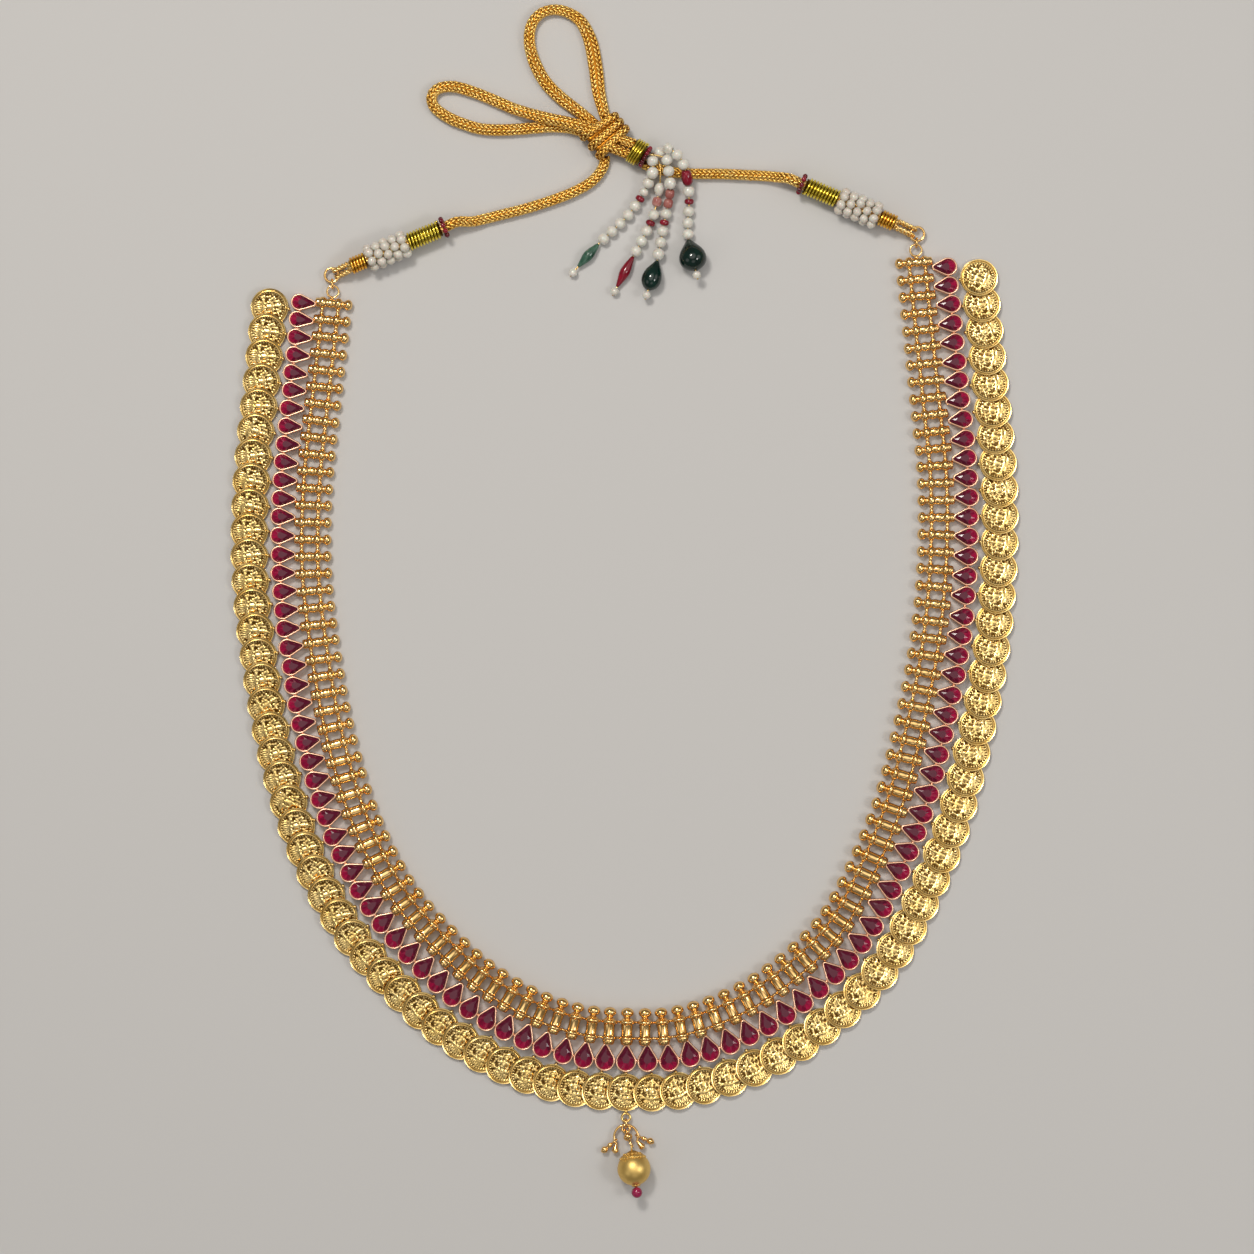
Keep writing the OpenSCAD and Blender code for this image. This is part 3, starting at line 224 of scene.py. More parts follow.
def frames(line, closed=False, level=False):
    """Tangent, sideways and upward directions at each point of a line."""
    p = line[:, :3]
    ahead = np.roll(p, -1, 0) - np.roll(p, 1, 0)
    if not closed:
        ahead[0], ahead[-1] = p[1] - p[0], p[-1] - p[-2]
    t = unit(ahead)
    if level:
        a = unit(np.cross([0, 0, 1], t))
        return t, a, np.cross(t, a)
    a = np.zeros_like(t)
    start = np.cross([0, 0, 1], t[0])
    a[0] = unit(start if np.linalg.norm(start) > 0.1 else np.cross([1, 0, 0], t[0]))
    for i in range(1, len(t)):
        a[i] = unit(a[i - 1] - t[i] * np.dot(a[i - 1], t[i]))
    return t, a, np.cross(t, a)


def grid_faces(rows, n, closed_rows=False):
    """Quads between rows of n points, each row closed on itself."""
    r = np.arange(rows if closed_rows else rows - 1)[:, None]
    k = np.arange(n)[None, :]
    j, q = (k + 1) % n, (r + 1) % rows
    return np.stack([r * n + k, r * n + j, q * n + j, q * n + k], axis=-1).reshape(-1, 4).tolist()


class Soup:
    """Joined small meshes: points in millimetres, faces, and each point's wear and its painted light and shade."""

    def __init__(self):
        self.points, self.faces, self.wear, self.local, self.facet = [], [], [], [], []
        self.count = 0

    def add(self, points, faces, wear=1.0, local=None, facet=0.5):
        points = np.asarray(points, float)
        n = len(points)
        self.points.append(points)
        self.faces += [[i + self.count for i in f] for f in faces]
        self.wear.append(np.broadcast_to(np.asarray(wear, float), (n,)))
        self.local.append(np.zeros((n, 3)) if local is None else np.asarray(local, float))
        self.facet.append(np.broadcast_to(np.asarray(facet, float), (len(faces),)))
        self.count += n

    def lay(self, shape, move=None, **marks):
        """Adds a shape, moved first where a move is given."""
        self.add(move(shape[0]) if move else shape[0], shape[1], **marks)

    def piece(self, name, look, slot, replaces=None, flat=False):
        """The mesh in the scene. It replaces the solid of its own name, or those given."""
        replaces = [name] if replaces is None else replaces
        mesh = bpy.data.meshes.new(name)
        mesh.from_pydata((np.concatenate(self.points) * 0.001).tolist(), [], self.faces)
        for key, kind, domain, values in (("wear", "FLOAT", "POINT", self.wear),
                                          ("facet", "FLOAT", "FACE", self.facet),
                                          ("local", "FLOAT_VECTOR", "POINT", self.local)):
            layer = mesh.attributes.new(key, kind, domain)
            field = "vector" if kind == "FLOAT_VECTOR" else "value"
            layer.data.foreach_set(field, np.concatenate(values).astype(np.float32).ravel())
        mesh.polygons.foreach_set("use_smooth", [not flat] * len(mesh.polygons))
        mesh.materials.append(look)
        mesh.update()
        piece = bpy.data.objects.new(name, mesh)
        bpy.context.scene.collection.objects.link(piece)
        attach(piece, "root")
        if replaces:
            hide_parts(*replaces)
        return piece


# Shapes: each returns points and faces
def lathe(profile, n, turn=0.0):
    """A turned shape about Z. The profile holds (z, radius), and a radius of 0 closes an end."""
    prof = np.asarray(profile, float)
    poles = [prof[0, 1] == 0, prof[-1, 1] == 0]
    body = prof[int(poles[0]):len(prof) - int(poles[1])]
    angle = turn + np.arange(n) * 2 * math.pi / n
    ring = np.stack([np.cos(angle), np.sin(angle)], -1)
    points = np.concatenate([np.tile(ring, (len(body), 1)) * np.repeat(body[:, 1], n)[:, None],
                             np.repeat(body[:, 0], n)[:, None]], axis=1)
    faces = grid_faces(len(body), n)
    last = (len(body) - 1) * n
    if poles[0]:
        points = np.vstack([points, [0, 0, prof[0, 0]]])
        faces += [[len(points) - 1, (k + 1) % n, k] for k in range(n)]
    if poles[1]:
        points = np.vstack([points, [0, 0, prof[-1, 0]]])
        faces += [[len(points) - 1, last + k, last + (k + 1) % n] for k in range(n)]
    return points, faces


def lathe_painted_shade(profile, n):
    """Painted light where a turned profile swells, and painted shade where it pinches."""
    prof = np.asarray(profile, float)
    body = prof[(prof[:, 1] > 0)]
    r = body[:, 1]
    near = np.convolve(np.pad(r, 2, mode="edge"), np.ones(5) / 5, mode="valid")
    w = np.clip(0.62 + 1.5 * (r - near), 0.05, 1)
    out = np.repeat(w, n)
    ends = [w[0]] * int(prof[0, 1] == 0) + [w[-1]] * int(prof[-1, 1] == 0)
    return np.concatenate([out, ends])


def ball_profile(length, d, steps=9):
    a = np.linspace(-math.pi / 2, math.pi / 2, steps)
    prof = np.stack([np.sin(a) * length / 2, np.cos(a) * d / 2], -1)
    prof[0, 1] = prof[-1, 1] = 0
    return prof


def ball(at, d, n=12, steps=9, length=None, axis=(0, 0, 1)):
    points, faces = lathe(ball_profile(length or d, d, steps), n)
    return stand(points, at, axis), faces


def round_z(angle, r, z=0.0):
    """Points round Z at the angles given."""
    angle = np.asarray(angle, float)
    return np.stack([r * np.cos(angle), r * np.sin(angle), z + 0 * angle], -1)


def circle(count, r, z, turn=0.0):
    """Points evenly spaced round Z."""
    return round_z(turn + 2 * math.pi * np.arange(count) / count, r, z)


def stand(points, at, axis):
    """Turns points so that Z runs along an axis, and moves them."""
    z = unit(np.asarray(axis, float))
    x = np.cross([0, 0, 1], z)
    x = unit(x) if np.linalg.norm(x) > 1e-6 else np.array([1.0, 0, 0])
    y = np.cross(z, x)
    return points @ np.stack([x, y, z]) + np.asarray(at, float)


def tube(line, radius, n=8, closed=False, level=False, flat=None):
    """A tube along a line, closed by flat ends or on itself. flat widens it and lowers it."""
    t, a, b = frames(line, closed, level)
    m = len(line)
    r = np.broadcast_to(np.asarray(radius, float), (m,))
    f = np.ones(m) if flat is None else flat
    c = np.arange(n) * 2 * math.pi / n
    points = (line[:, None, :3] + (r * f)[:, None, None] * np.cos(c)[None, :, None] * a[:, None, :]
              + (r / f)[:, None, None] * np.sin(c)[None, :, None] * b[:, None, :]).reshape(-1, 3)
    faces = grid_faces(m, n, closed)
    if not closed:
        faces += [list(range(n))[::-1], list(range((m - 1) * n, m * n))]
    return points, faces


def tube_local(line, n, d):
    """Length along the tube and way round it, for the thread's bump."""
    s = way(line)
    return np.stack([np.repeat(s, n), np.tile(np.arange(n) / n, len(s)), np.full(len(s) * n, d)], -1)


def ring(at, radius, wire, normal=(0, 0, 1), n=40):
    """A ring of round wire."""
    return tube(stand(circle(n, radius, 0), at, normal), wire / 2, 12, closed=True)


def flat_ring(at, radius, wire, arc):
    """An arc of wire that lies level, its angles counted from +X."""
    return tube(at + round_z(np.radians(np.linspace(arc[0], arc[1], 24)), radius), wire / 2, 10)


# Rows beside the line of the stones
class Row:
    def __init__(self, v):
        p = smooth(BAND_ROUTE, ROUTE_STEPS)
        ahead = np.vstack([p[1] - p[0], p[2:] - p[:-2], p[-1] - p[-2]])
        t = unit(ahead)
        self.line = p + v * np.stack([-t[:, 1], t[:, 0]], -1)
        self.way = way(self.line)
        self.total = self.way[-1]
        self.middle = self.way[ROUTE_MIDDLE * ROUTE_STEPS]

    def spot(self, s):
        return np.array([np.interp(s, self.way, self.line[:, k]) for k in (0, 1)])

    def heading(self, s):
        d = self.spot(s + 0.6) - self.spot(s - 0.6)
        return math.atan2(d[1], d[0])

    def share(self, s):
        if s < self.middle:
            return (self.middle - s) / self.middle
        return (s - self.middle) / (self.total - self.middle)

    def grade(self, s):
        """0 in the middle of the necklace, 1 towards its ends."""
        u = min(max((self.share(s) - 0.15) / 0.6, 0), 1)
        return u * u * (3 - 2 * u)

    def room(self, ends, side):
        return self.middle - ends[0] if side < 0 else self.total - ends[1] - self.middle

    def places(self, ends, side, n, first):
        q = ends[2] if side < 0 else ends[3]
        k = np.arange(first, n + 1)
        return self.middle + side * self.room(ends, side) * ((1 + q) * k / n - q * (k / n) ** 2)

    def pitch(self, ends, counts, s):
        side = -1 if s < self.middle else 1
        r = self.room(ends, side)
        q = ends[2] if side < 0 else ends[3]
        return r / counts[0 if side < 0 else 1] * (1 + q - 2 * q * min(abs(s - self.middle) / r, 1))

    def put(self, points, s, turn=0.0):
        """Points from the row's own frame at s to the necklace: X along the row, Y to the neck."""
        h = self.heading(s) + turn
        c, d = math.cos(h), math.sin(h)
        at = self.spot(s)
        out = np.array(points, float)
        out[:, 0], out[:, 1] = (at[0] + points[:, 0] * c - points[:, 1] * d,
                                at[1] + points[:, 0] * d + points[:, 1] * c)
        return out


def between(pair, g):
    return pair[0] + (pair[1] - pair[0]) * g


ROUND_REACH = 2.5
BAR_LINE = SETTING_L[0] - ROUND_REACH + 0.5 + FOOT_REACH
COIN_LINE = -ROUND_REACH - COIN_GAP - COIN_D / 2
bar_row, stone_row, coin_row = Row(BAR_LINE), Row(0), Row(COIN_LINE)


def drop_at(row, s):
    return (SETTING_L[0] - SETTING_L[1]) * row.grade(s)


# Materials
def add_node(tree, kind, values=(), **settings):
    node = tree.nodes.new(kind)
    for key, value in settings.items():
        setattr(node, key, value)
    for key, value in dict(values).items():
        if isinstance(value, bpy.types.NodeSocket):
            tree.links.new(value, node.inputs[key])
        else:
            node.inputs[key].default_value = value
    return node


def colour(rgb):
    return (*rgb, 1)


def mixed(tree, factor, a, b):
    """Mixes two colours or colour sockets."""
    node = add_node(tree, "ShaderNodeMix", data_type="RGBA")
    for index, value in ((0, factor), (6, a), (7, b)):
        if isinstance(value, bpy.types.NodeSocket):
            tree.links.new(value, node.inputs[index])
        else:
            node.inputs[index].default_value = value if index == 0 else colour(value)
    return node.outputs[2]


def ramp(tree, value, low, high, to_low=0.0, to_high=1.0):
    node = add_node(tree, "ShaderNodeMapRange", {"Value": value, "From Min": low, "From Max": high,
                                                 "To Min": to_low, "To Max": to_high})
    return node.outputs["Result"]


def maths(tree, operation, a, b=0.0):
    node = add_node(tree, "ShaderNodeMath", {0: a, 1: b}, operation=operation)
    return node.outputs[0]


def noise(tree, scale, detail=3.0):
    place = add_node(tree, "ShaderNodeTexCoord").outputs["Object"]
    node = add_node(tree, "ShaderNodeTexNoise", {"Vector": place, "Scale": scale, "Detail": detail,
                                                 "Roughness": 0.55})
    return node.outputs[0]


def attribute(tree, name, output="Fac"):
    return add_node(tree, "ShaderNodeAttribute", attribute_name=name).outputs[output]


def bump(tree, height, strength, distance):
    values = {"Height": height, "Strength": strength, "Distance": distance}
    return add_node(tree, "ShaderNodeBump", values).outputs["Normal"]


def material(name, **sockets):
    made = bpy.data.materials.new(name)
    made.use_nodes = True
    tree = made.node_tree
    shader = tree.nodes["Principled BSDF"]
    for key, value in sockets.items():
        shader.inputs[key.replace("_", " ")].default_value = colour(value) if isinstance(value, tuple) else value
    return made, tree, shader


def metal(name, bright, dull, dark, rough=(0.18, 0.4), grain=900, grain_m=0.00003, patina_and_shade_reach=0.5):
    """Plated metal: dull in patches, bright where it is rubbed or painted as lit, and dark in its recesses: patina in
    the coins' hollows, painted shade on the other pieces.
    """
    made, tree, shader = material(name, Metallic=1.0)
    wear = attribute(tree, "wear")
    patch = noise(tree, 260, 4)
    clean_and_unshaded = mixed(tree, ramp(tree, patch, 0.4, 0.7), bright, dull)
    # Where the attribute is low the dark colour shows: patina in the coins' hollows, painted shade in the pinches and
    # gaps of the other pieces.
    recess = ramp(tree, maths(tree, "ADD", wear, ramp(tree, noise(tree, 1500, 2), 0.3, 0.7, -0.12, 0.12)),
                  0.0, patina_and_shade_reach)
    tree.links.new(mixed(tree, recess, dark, clean_and_unshaded), shader.inputs["Base Color"])
    tree.links.new(ramp(tree, maths(tree, "MULTIPLY", recess, ramp(tree, patch, 0.3, 0.7, 1.0, 0.75)),
                        0.0, 1.0, rough[1], rough[0]), shader.inputs["Roughness"])
    tree.links.new(bump(tree, noise(tree, grain, 3), 0.25, grain_m), shader.inputs["Normal"])
    return made


def glass(name, deep, glow, rough=0.05, transmission=0.35):
    """Coloured glass, deep in its body, with a lighter glow in some facets."""
    made, tree, shader = material(name, Roughness=rough, IOR=1.55, Transmission_Weight=transmission,
                                  Specular_IOR_Level=0.5)
    facet = attribute(tree, "facet")
    swirl = noise(tree, 420, 2)
    tree.links.new(mixed(tree, ramp(tree, maths(tree, "MULTIPLY", facet, swirl), 0.15, 0.5), deep, glow),
                   shader.inputs["Base Color"])
    return made


def stone_glass(name, deep, rim, painted_reflection):
    """A foiled stone with painted light: a brighter red glow on facets near its round end, and a pale painted
    reflection over the table towards its tip.
    """
    made, tree, shader = material(name, Roughness=0.17, IOR=1.6, Specular_IOR_Level=0.3)
    rise = attribute(tree, "wear")
    facet = attribute(tree, "facet")
    # Painted light: brighter red on the facets near the round end, and a pale painted reflection of the sky over the
    # table towards the tip.
    body = mixed(tree, ramp(tree, facet, 0.2, 0.9), deep, rim)
    painted_reflection_mask = maths(tree, "MULTIPLY", ramp(tree, rise, 0.25, 0.8), ramp(tree, noise(tree, 500, 2), 0.35, 0.65, 0.5, 1))
    tree.links.new(mixed(tree, painted_reflection_mask, body, painted_reflection), shader.inputs["Base Color"])
    return made


def pearl_coat(name, base, shade, blush):
    made, tree, shader = material(name, Roughness=0.28, IOR=1.55, Coat_Weight=0.7, Coat_Roughness=0.12,
                                  Sheen_Weight=0.25, Sheen_Roughness=0.4, Subsurface_Weight=0.15,
                                  Subsurface_Scale=0.0006)
    mottle = noise(tree, 700, 3)
    tint = mixed(tree, ramp(tree, noise(tree, 160, 1), 0.42, 0.62), base, blush)
    tree.links.new(mixed(tree, ramp(tree, mottle, 0.5, 0.75), tint, shade), shader.inputs["Base Color"])
    tree.links.new(bump(tree, mottle, 0.2, 0.00005), shader.inputs["Normal"])
    return made


def thread(name, bright, mid, dark, plies=34.0):
    """Metal-wrapped thread: fine slanting plies along each strand, with glints in its roughness and bump, and painted
    shade in its gaps.
    """
    made, tree, shader = material(name, Metallic=0.95)
    local = add_node(tree, "ShaderNodeSeparateXYZ", {0: attribute(tree, "local", "Vector")})
    slant = maths(tree, "ADD", maths(tree, "MULTIPLY", local.outputs[0], plies / 10),
                  maths(tree, "MULTIPLY", local.outputs[1], 2.0))
    ply = maths(tree, "SINE", maths(tree, "MULTIPLY", slant, 2 * math.pi))
    glint = noise(tree, 1300, 2)
    tone = mixed(tree, ramp(tree, noise(tree, 350, 3), 0.35, 0.65), mid, bright)
    # Painted shade: the dark colour where the attribute is low, in the cord's core, its gaps and the shaded sides of
    # its stitches.
    tone = mixed(tree, ramp(tree, attribute(tree, "wear"), 0.1, 0.55), dark, tone)
    tree.links.new(tone, shader.inputs["Base Color"])
    tree.links.new(ramp(tree, glint, 0.35, 0.65, 0.38, 0.24), shader.inputs["Roughness"])
    tree.links.new(bump(tree, maths(tree, "ADD", ply, maths(tree, "MULTIPLY", glint, 0.8)), 0.3, 0.00005),
                   shader.inputs["Normal"])
    return made


# Each metal's third colour is its dark: painted shade on the bars, settings, wires and pendant, and patina in the
# hollows of the coins.
bar_gold = metal("bar_gold", (0.95, 0.63, 0.26), (0.88, 0.52, 0.17), (0.16, 0.05, 0.008), (0.14, 0.3),
                 grain_m=0.000012)
coin_gold = metal("coin_gold", (0.99, 0.73, 0.3), (0.93, 0.63, 0.2), (0.1, 0.045, 0.006), (0.2, 0.5),
                  grain=1800, grain_m=0.00006, patina_and_shade_reach=0.75)
rim_gold = metal("rim_gold", (0.98, 0.62, 0.43), (0.94, 0.54, 0.34), (0.22, 0.06, 0.02), (0.3, 0.4))
satin_gold = metal("satin_gold", (0.86, 0.6, 0.2), (0.78, 0.52, 0.15), (0.14, 0.06, 0.008), (0.42, 0.6),
                   grain=2600, grain_m=0.00004)
coil_gold = metal("coil_gold", (0.9, 0.74, 0.1), (0.74, 0.55, 0.05), (0.16, 0.09, 0.005), (0.16, 0.35))
wrap_gold = metal("wrap_gold", (0.95, 0.55, 0.08), (0.85, 0.42, 0.05), (0.2, 0.07, 0.005), (0.18, 0.35))
# Ruby colours: the deep body, a brighter red for its painted glow, and a pale tint for its painted reflection.
ruby = stone_glass("ruby", (0.085, 0.0, 0.016), (0.42, 0.003, 0.055), (0.1, 0.006, 0.025))
berry_glass = glass("berry_glass", (0.16, 0.002, 0.03), (0.42, 0.012, 0.09), rough=0.08, transmission=0.0)
red_glass = glass("red_glass", (0.09, 0.001, 0.006), (0.3, 0.006, 0.025), transmission=0.1)
rose_glass = glass("rose_glass", (0.4, 0.08, 0.07), (0.72, 0.38, 0.33))
green_glass = glass("green_glass", (0.001, 0.01, 0.007), (0.003, 0.035, 0.024), transmission=0.0)
pale_green = glass("pale_green", (0.01, 0.07, 0.04), (0.2, 0.4, 0.29), transmission=0.3)
pearl_white = pearl_coat("pearl_white", (0.72, 0.7, 0.63), (0.56, 0.53, 0.45), (0.68, 0.65, 0.57))
seed_white = pearl_coat("seed_white", (0.66, 0.62, 0.54), (0.52, 0.46, 0.38), (0.64, 0.58, 0.5))
# The cord's dark colour is painted shade in its core, its gaps and the shaded sides of its stitches.
cord_gold = thread("cord_gold", (1.0, 0.7, 0.22), (0.96, 0.55, 0.1), (0.34, 0.13, 0.01))
loop_gold = thread("loop_gold", (1.0, 0.75, 0.32), (0.9, 0.55, 0.16), (0.2, 0.08, 0.015), plies=22.0)


# The bars: half profiles from foot to ball, (place along the bar, radius), in the middle and at the ends
MIDDLE_BAR = [(-3.75, 0), (-3.75, 1.15), (-3.6, 1.38), (-3.05, 1.52), (-2.6, 1.66), (-2.46, 1.5), (-2.4, 1.9),
              (-2.24, 2.08), (-2.02, 2.12), (-1.8, 2.08), (-1.66, 1.88), (-1.6, 1.5), (-1.2, 1.42), (-0.6, 1.38),
              (0, 1.38), (0.6, 1.4), (1.2, 1.46), (1.58, 1.54), (1.64, 1.9), (1.78, 2.1), (2.02, 2.15), (2.26, 2.1),
              (2.4, 1.9), (2.46, 1.5), (2.7, 1.36), (2.95, 1.0), (3.08, 0.8), (3.26, 0.78), (3.42, 0.95),
              (3.58, 1.25), (3.88, 1.52), (4.3, 1.62), (4.75, 1.55), (5.18, 1.26), (5.46, 0.82), (5.6, 0.35),
              (5.64, 0)]
END_BAR = [(-3.85, 0), (-3.85, 0.85), (-3.7, 1.05), (-3.3, 1.16), (-2.95, 1.12), (-2.78, 1.18), (-2.6, 1.3),
           (-2.3, 1.46), (-1.95, 1.53), (-1.6, 1.46), (-1.3, 1.28), (-1.1, 1.1), (-0.92, 0.98), (-0.6, 1.12),
           (0, 1.24), (0.6, 1.12), (0.92, 0.98), (1.1, 1.1), (1.3, 1.28), (1.6, 1.46), (1.95, 1.53), (2.3, 1.46),
           (2.6, 1.28), (2.78, 1.08), (2.92, 0.86), (3.05, 0.78), (3.2, 0.9), (3.34, 0.78), (3.46, 0.82),
           (3.6, 1.0), (3.86, 1.26), (4.3, 1.41), (4.72, 1.36), (5.1, 1.1), (5.37, 0.74), (5.5, 0.32), (5.54, 0)]
BAR_SIDES = 18
# How much the bars differ, in radius and in turn
BAR_SPREAD = 0.02


def bar_places(k):
    return bar_row.places(BAR_ENDS, sign(k), BARS[k], 1 - k)


def bead_band(k):
    soup = Soup()
    places = bar_places(k)
    for s in places:
        g = bar_row.grade(s)
        profile = between((np.array(MIDDLE_BAR), np.array(END_BAR)), g)
        profile[:, 1] *= 1 + rng.uniform(-BAR_SPREAD, BAR_SPREAD)
        points, faces = lathe(profile, BAR_SIDES)
        lying = np.stack([points[:, 0], points[:, 2] - drop_at(bar_row, s), points[:, 1]], -1)
        lying[:, 2] += between(FLANGE_D, g) / 2
        # Each bar gets painted shade in its pinches and painted light on its swells.
        soup.add(bar_row.put(lying, s, rng.uniform(-BAR_SPREAD, BAR_SPREAD)), [f[::-1] for f in faces],
                 wear=lathe_painted_shade(profile, BAR_SIDES))
    if k == 1:
        places = [bar_places(0)[0], *places]
    for a, b in zip(places[:-1], places[1:]):
        pin(soup, (a + b) / 2)
    end_ring(soup, k)
    soup.piece("bead_band_" + SIDES[k], bar_gold, "gold")


# The pins at the flanges, in the middle and at the ends: size and place of their two beads, and their neck
FLANGE_AT = 2.0
PIN_BEAD, PIN_BEAD_AT, PIN_NECK = (0.4, 0.56), (0.32, 0.46), (0.3, 0.38)
PIN_SUNK = 0.4


def pin(soup, s):
    """Pins with two small beads hold neighbouring bars at both flanges."""
    g = bar_row.grade(s)
    d, bead, apart, neck = (between(pair, g) for pair in (FLANGE_D, PIN_BEAD, PIN_BEAD_AT, PIN_NECK))
    half = (bar_row.pitch(BAR_ENDS, BARS, s) - d) / 2 + PIN_SUNK
    shape = [(-half, 0), (-half, neck)]
    for at in (-apart, apart):
        shape += [(at + z * bead, r * bead) for z, r in ((-0.75, 0.62), (-0.3, 0.95), (0.3, 0.95), (0.75, 0.62))]
    shape += [(half, neck), (half, 0)]
    for y in (-FLANGE_AT, FLANGE_AT):
        points, faces = lathe(shape, 10)
        lying = np.stack([points[:, 2], points[:, 0] + y - drop_at(bar_row, s), points[:, 1] + d / 2], -1)
        soup.add(bar_row.put(lying, s), faces, wear=0.75)


# The stub between the last bar and its ring: how far it reaches past the ring's wire, and its bead's place and size
STUB = (0.1, 1.1)
STUB_BEAD_AT, STUB_BEAD_D = 0.25, 0.95


def end_ring(soup, k):
    s = bar_places(k)[-1]
    y, z = END_RING_Y[k], FLANGE_D[1] / 2
    wire_r = (END_RING_D - RING_WIRE) / 2

    def at(back):
        return np.array([sign(k) * (END_REACH - back), y, z])

    def move(points):
        return bar_row.put(points, s)
    soup.lay(ring(at(0), wire_r, RING_WIRE), move, wear=0.8)
    soup.lay(tube(np.array([at(wire_r + STUB[1]), at(wire_r + STUB[0])]), PIN_D / 2, 10), move, wear=0.5)
    soup.lay(ball(at(wire_r + STUB_BEAD_AT), STUB_BEAD_D), move, wear=0.7)


# The settings and their stones
def pear_line(r, tip, d, round_n=20, tip_n=5, side_n=2):
    """Outline of a pear, counter-clockwise, its round end at the origin and its tip towards +Y."""
    a = math.asin((r - tip) / d)
    big = np.linspace(math.pi - a, 2 * math.pi + a, round_n)
    small = np.linspace(a, math.pi - a, tip_n)
    rounded = np.stack([r * np.cos(big), r * np.sin(big)], -1)
    end = np.stack([tip * np.cos(small), d + tip * np.sin(small)], -1)
    t = np.linspace(0, 1, side_n + 2)[1:-1, None]
    up = rounded[-1] + (end[0] - rounded[-1]) * t
    down = end[-1] + (rounded[0] - end[-1]) * t
    return np.concatenate([rounded, up, end, down])


def pear_at(s):
    w = stone_row.pitch(STONE_ENDS, STONES, s) - SETTING_GAP
    length = SETTING_L[0] - drop_at(stone_row, s)
    return w / 2, length - w / 2 - TIP_R, w / 2 - ROUND_REACH


# Rings of a setting from its foot over the rim to its floor: outwards of the outline, height, brightness (painted
# light on the rim's top, painted shade at the foot and on the floor inside)
SETTING_RINGS = [(-0.05, 0, 0.2), (0, 0.15, 0.25), (0, 1.5, 0.4), (0.02, 2.0, 0.5), (0.05, 2.35, 0.9), (0.0, 2.58, 1),
                 (-0.1, 2.66, 1), (-0.24, 2.68, 1), (-0.36, 2.6, 1), (-0.42, 2.4, 0.7), (-0.44, 2.1, 0.05),
                 (-0.44, 1.2, 0.05)]


def setting(soup, s, turn, slip):
    r, d, y = pear_at(s)
    rows, wear = [], []
    # The brightness paints light on the rim's top and shade below it, down to the foot and on the floor inside.
    for out, z, bright in SETTING_RINGS:
        line = pear_line(r + out, TIP_R + out, d)
        rows.append(np.column_stack([line[:, 0], line[:, 1] + y, np.full(len(line), z)]))
        wear += [bright] * len(line)
    n = len(rows[0])
    faces = grid_faces(len(rows), n)
    faces += [list(range(n))[::-1], list(range((len(rows) - 1) * n, len(rows) * n))]
    soup.add(stone_row.put(tilted(np.concatenate(rows), turn, slip), s), faces, wear=wear)


def tilted(points, turn, slip=(0, 0)):
    """A small turn and shift of one setting, stone or coin about its own middle."""
    c, d = math.cos(turn), math.sin(turn)
    out = points.copy()
    out[:, 0] = points[:, 0] * c - points[:, 1] * d + slip[0]
    out[:, 1] = points[:, 0] * d + points[:, 1] * c + slip[1]
    return out


# The stones' cut: gap to the outline, the girdle's depths under the rim, the width and height of the crown's
# middle and of the table as shares, the keel's height, how much the facets' painted brightness differs, and how
# bright the table is painted
STONE_INSET = 0.42
GIRDLE = (0.5, 0.15)
CROWN, TABLE = (0.8, 0.5), (0.46, 0.85)
KEEL_Z = 1.2
FACET_SPREAD = 0.22
TABLE_FACET = 0.22


def stone(soup, s, turn, slip):
    """A pear cut: table, star and kite facets over a girdle, and a keel below."""
    r, d, y = pear_at(s)
    line = pear_line(r - STONE_INSET, TIP_R - STONE_INSET, d, 12, 2, 1)
    n, m = len(line), len(line) // 2
    centre = np.array([0, d * 0.3])
    levels = [(line, SETTING_H - GIRDLE[0]), (line, SETTING_H - GIRDLE[1]),
              (centre + (line[1::2] - centre) * CROWN[0], SETTING_H + STONE_RISE * CROWN[1]),
              (centre + (line[::2] - centre) * TABLE[0], SETTING_H + STONE_RISE * TABLE[1]),
              (np.array([[0, d * 0.25]]), KEEL_Z)]
    rows = [np.column_stack([flat, np.full(len(flat), z)]) for flat, z in levels]
    points = np.concatenate(rows)
    rise = np.clip((points[:, 1] + r) / (d + r + TIP_R), 0, 1)
    points[:, 1] += y
    start = np.cumsum([0] + [len(q) for q in rows])
    faces = [[start[0] + i, start[0] + (i + 1) % n, start[1] + (i + 1) % n, start[1] + i] for i in range(n)]
    for i in range(m):
        j = (i + 1) % m
        g0, g1, g2 = start[1] + 2 * i, start[1] + (2 * i + 1) % n, start[1] + (2 * i + 2) % n
        k, a, b = start[2] + i, start[3] + i, start[3] + j
        faces += [[g0, g1, k], [g1, g2, k], [a, k, b]]
        before = start[2] + (i - 1) % m
        faces += [[g0, k, a, before]]
    faces += [[start[3] + i for i in range(m)]]
    faces += [[start[4], start[0] + (i + 1) % n, start[0] + i] for i in range(n)]
    # Painted light: facets brighter red towards the round end, and brighter or darker at random like sparkle; the
    # table gets its own value.
    low = 1 - np.array([rise[f].mean() for f in faces])
    facet = np.clip(0.95 * low ** 1.8 + rng.uniform(-FACET_SPREAD, FACET_SPREAD, len(faces)), 0, 1)
    facet[n + 4 * m] = TABLE_FACET
    put = stone_row.put(tilted(points, turn, slip), s)
    soup.add(put, faces, wear=rise, facet=facet)


# How much the stones differ in turn and place, and the solder beads between their settings: place and size
STONE_TURN, STONE_SLIP = 0.025, 0.06
SOLDER_Y, SOLDER_Z, SOLDER_D = 0.2, 1.7, 0.9


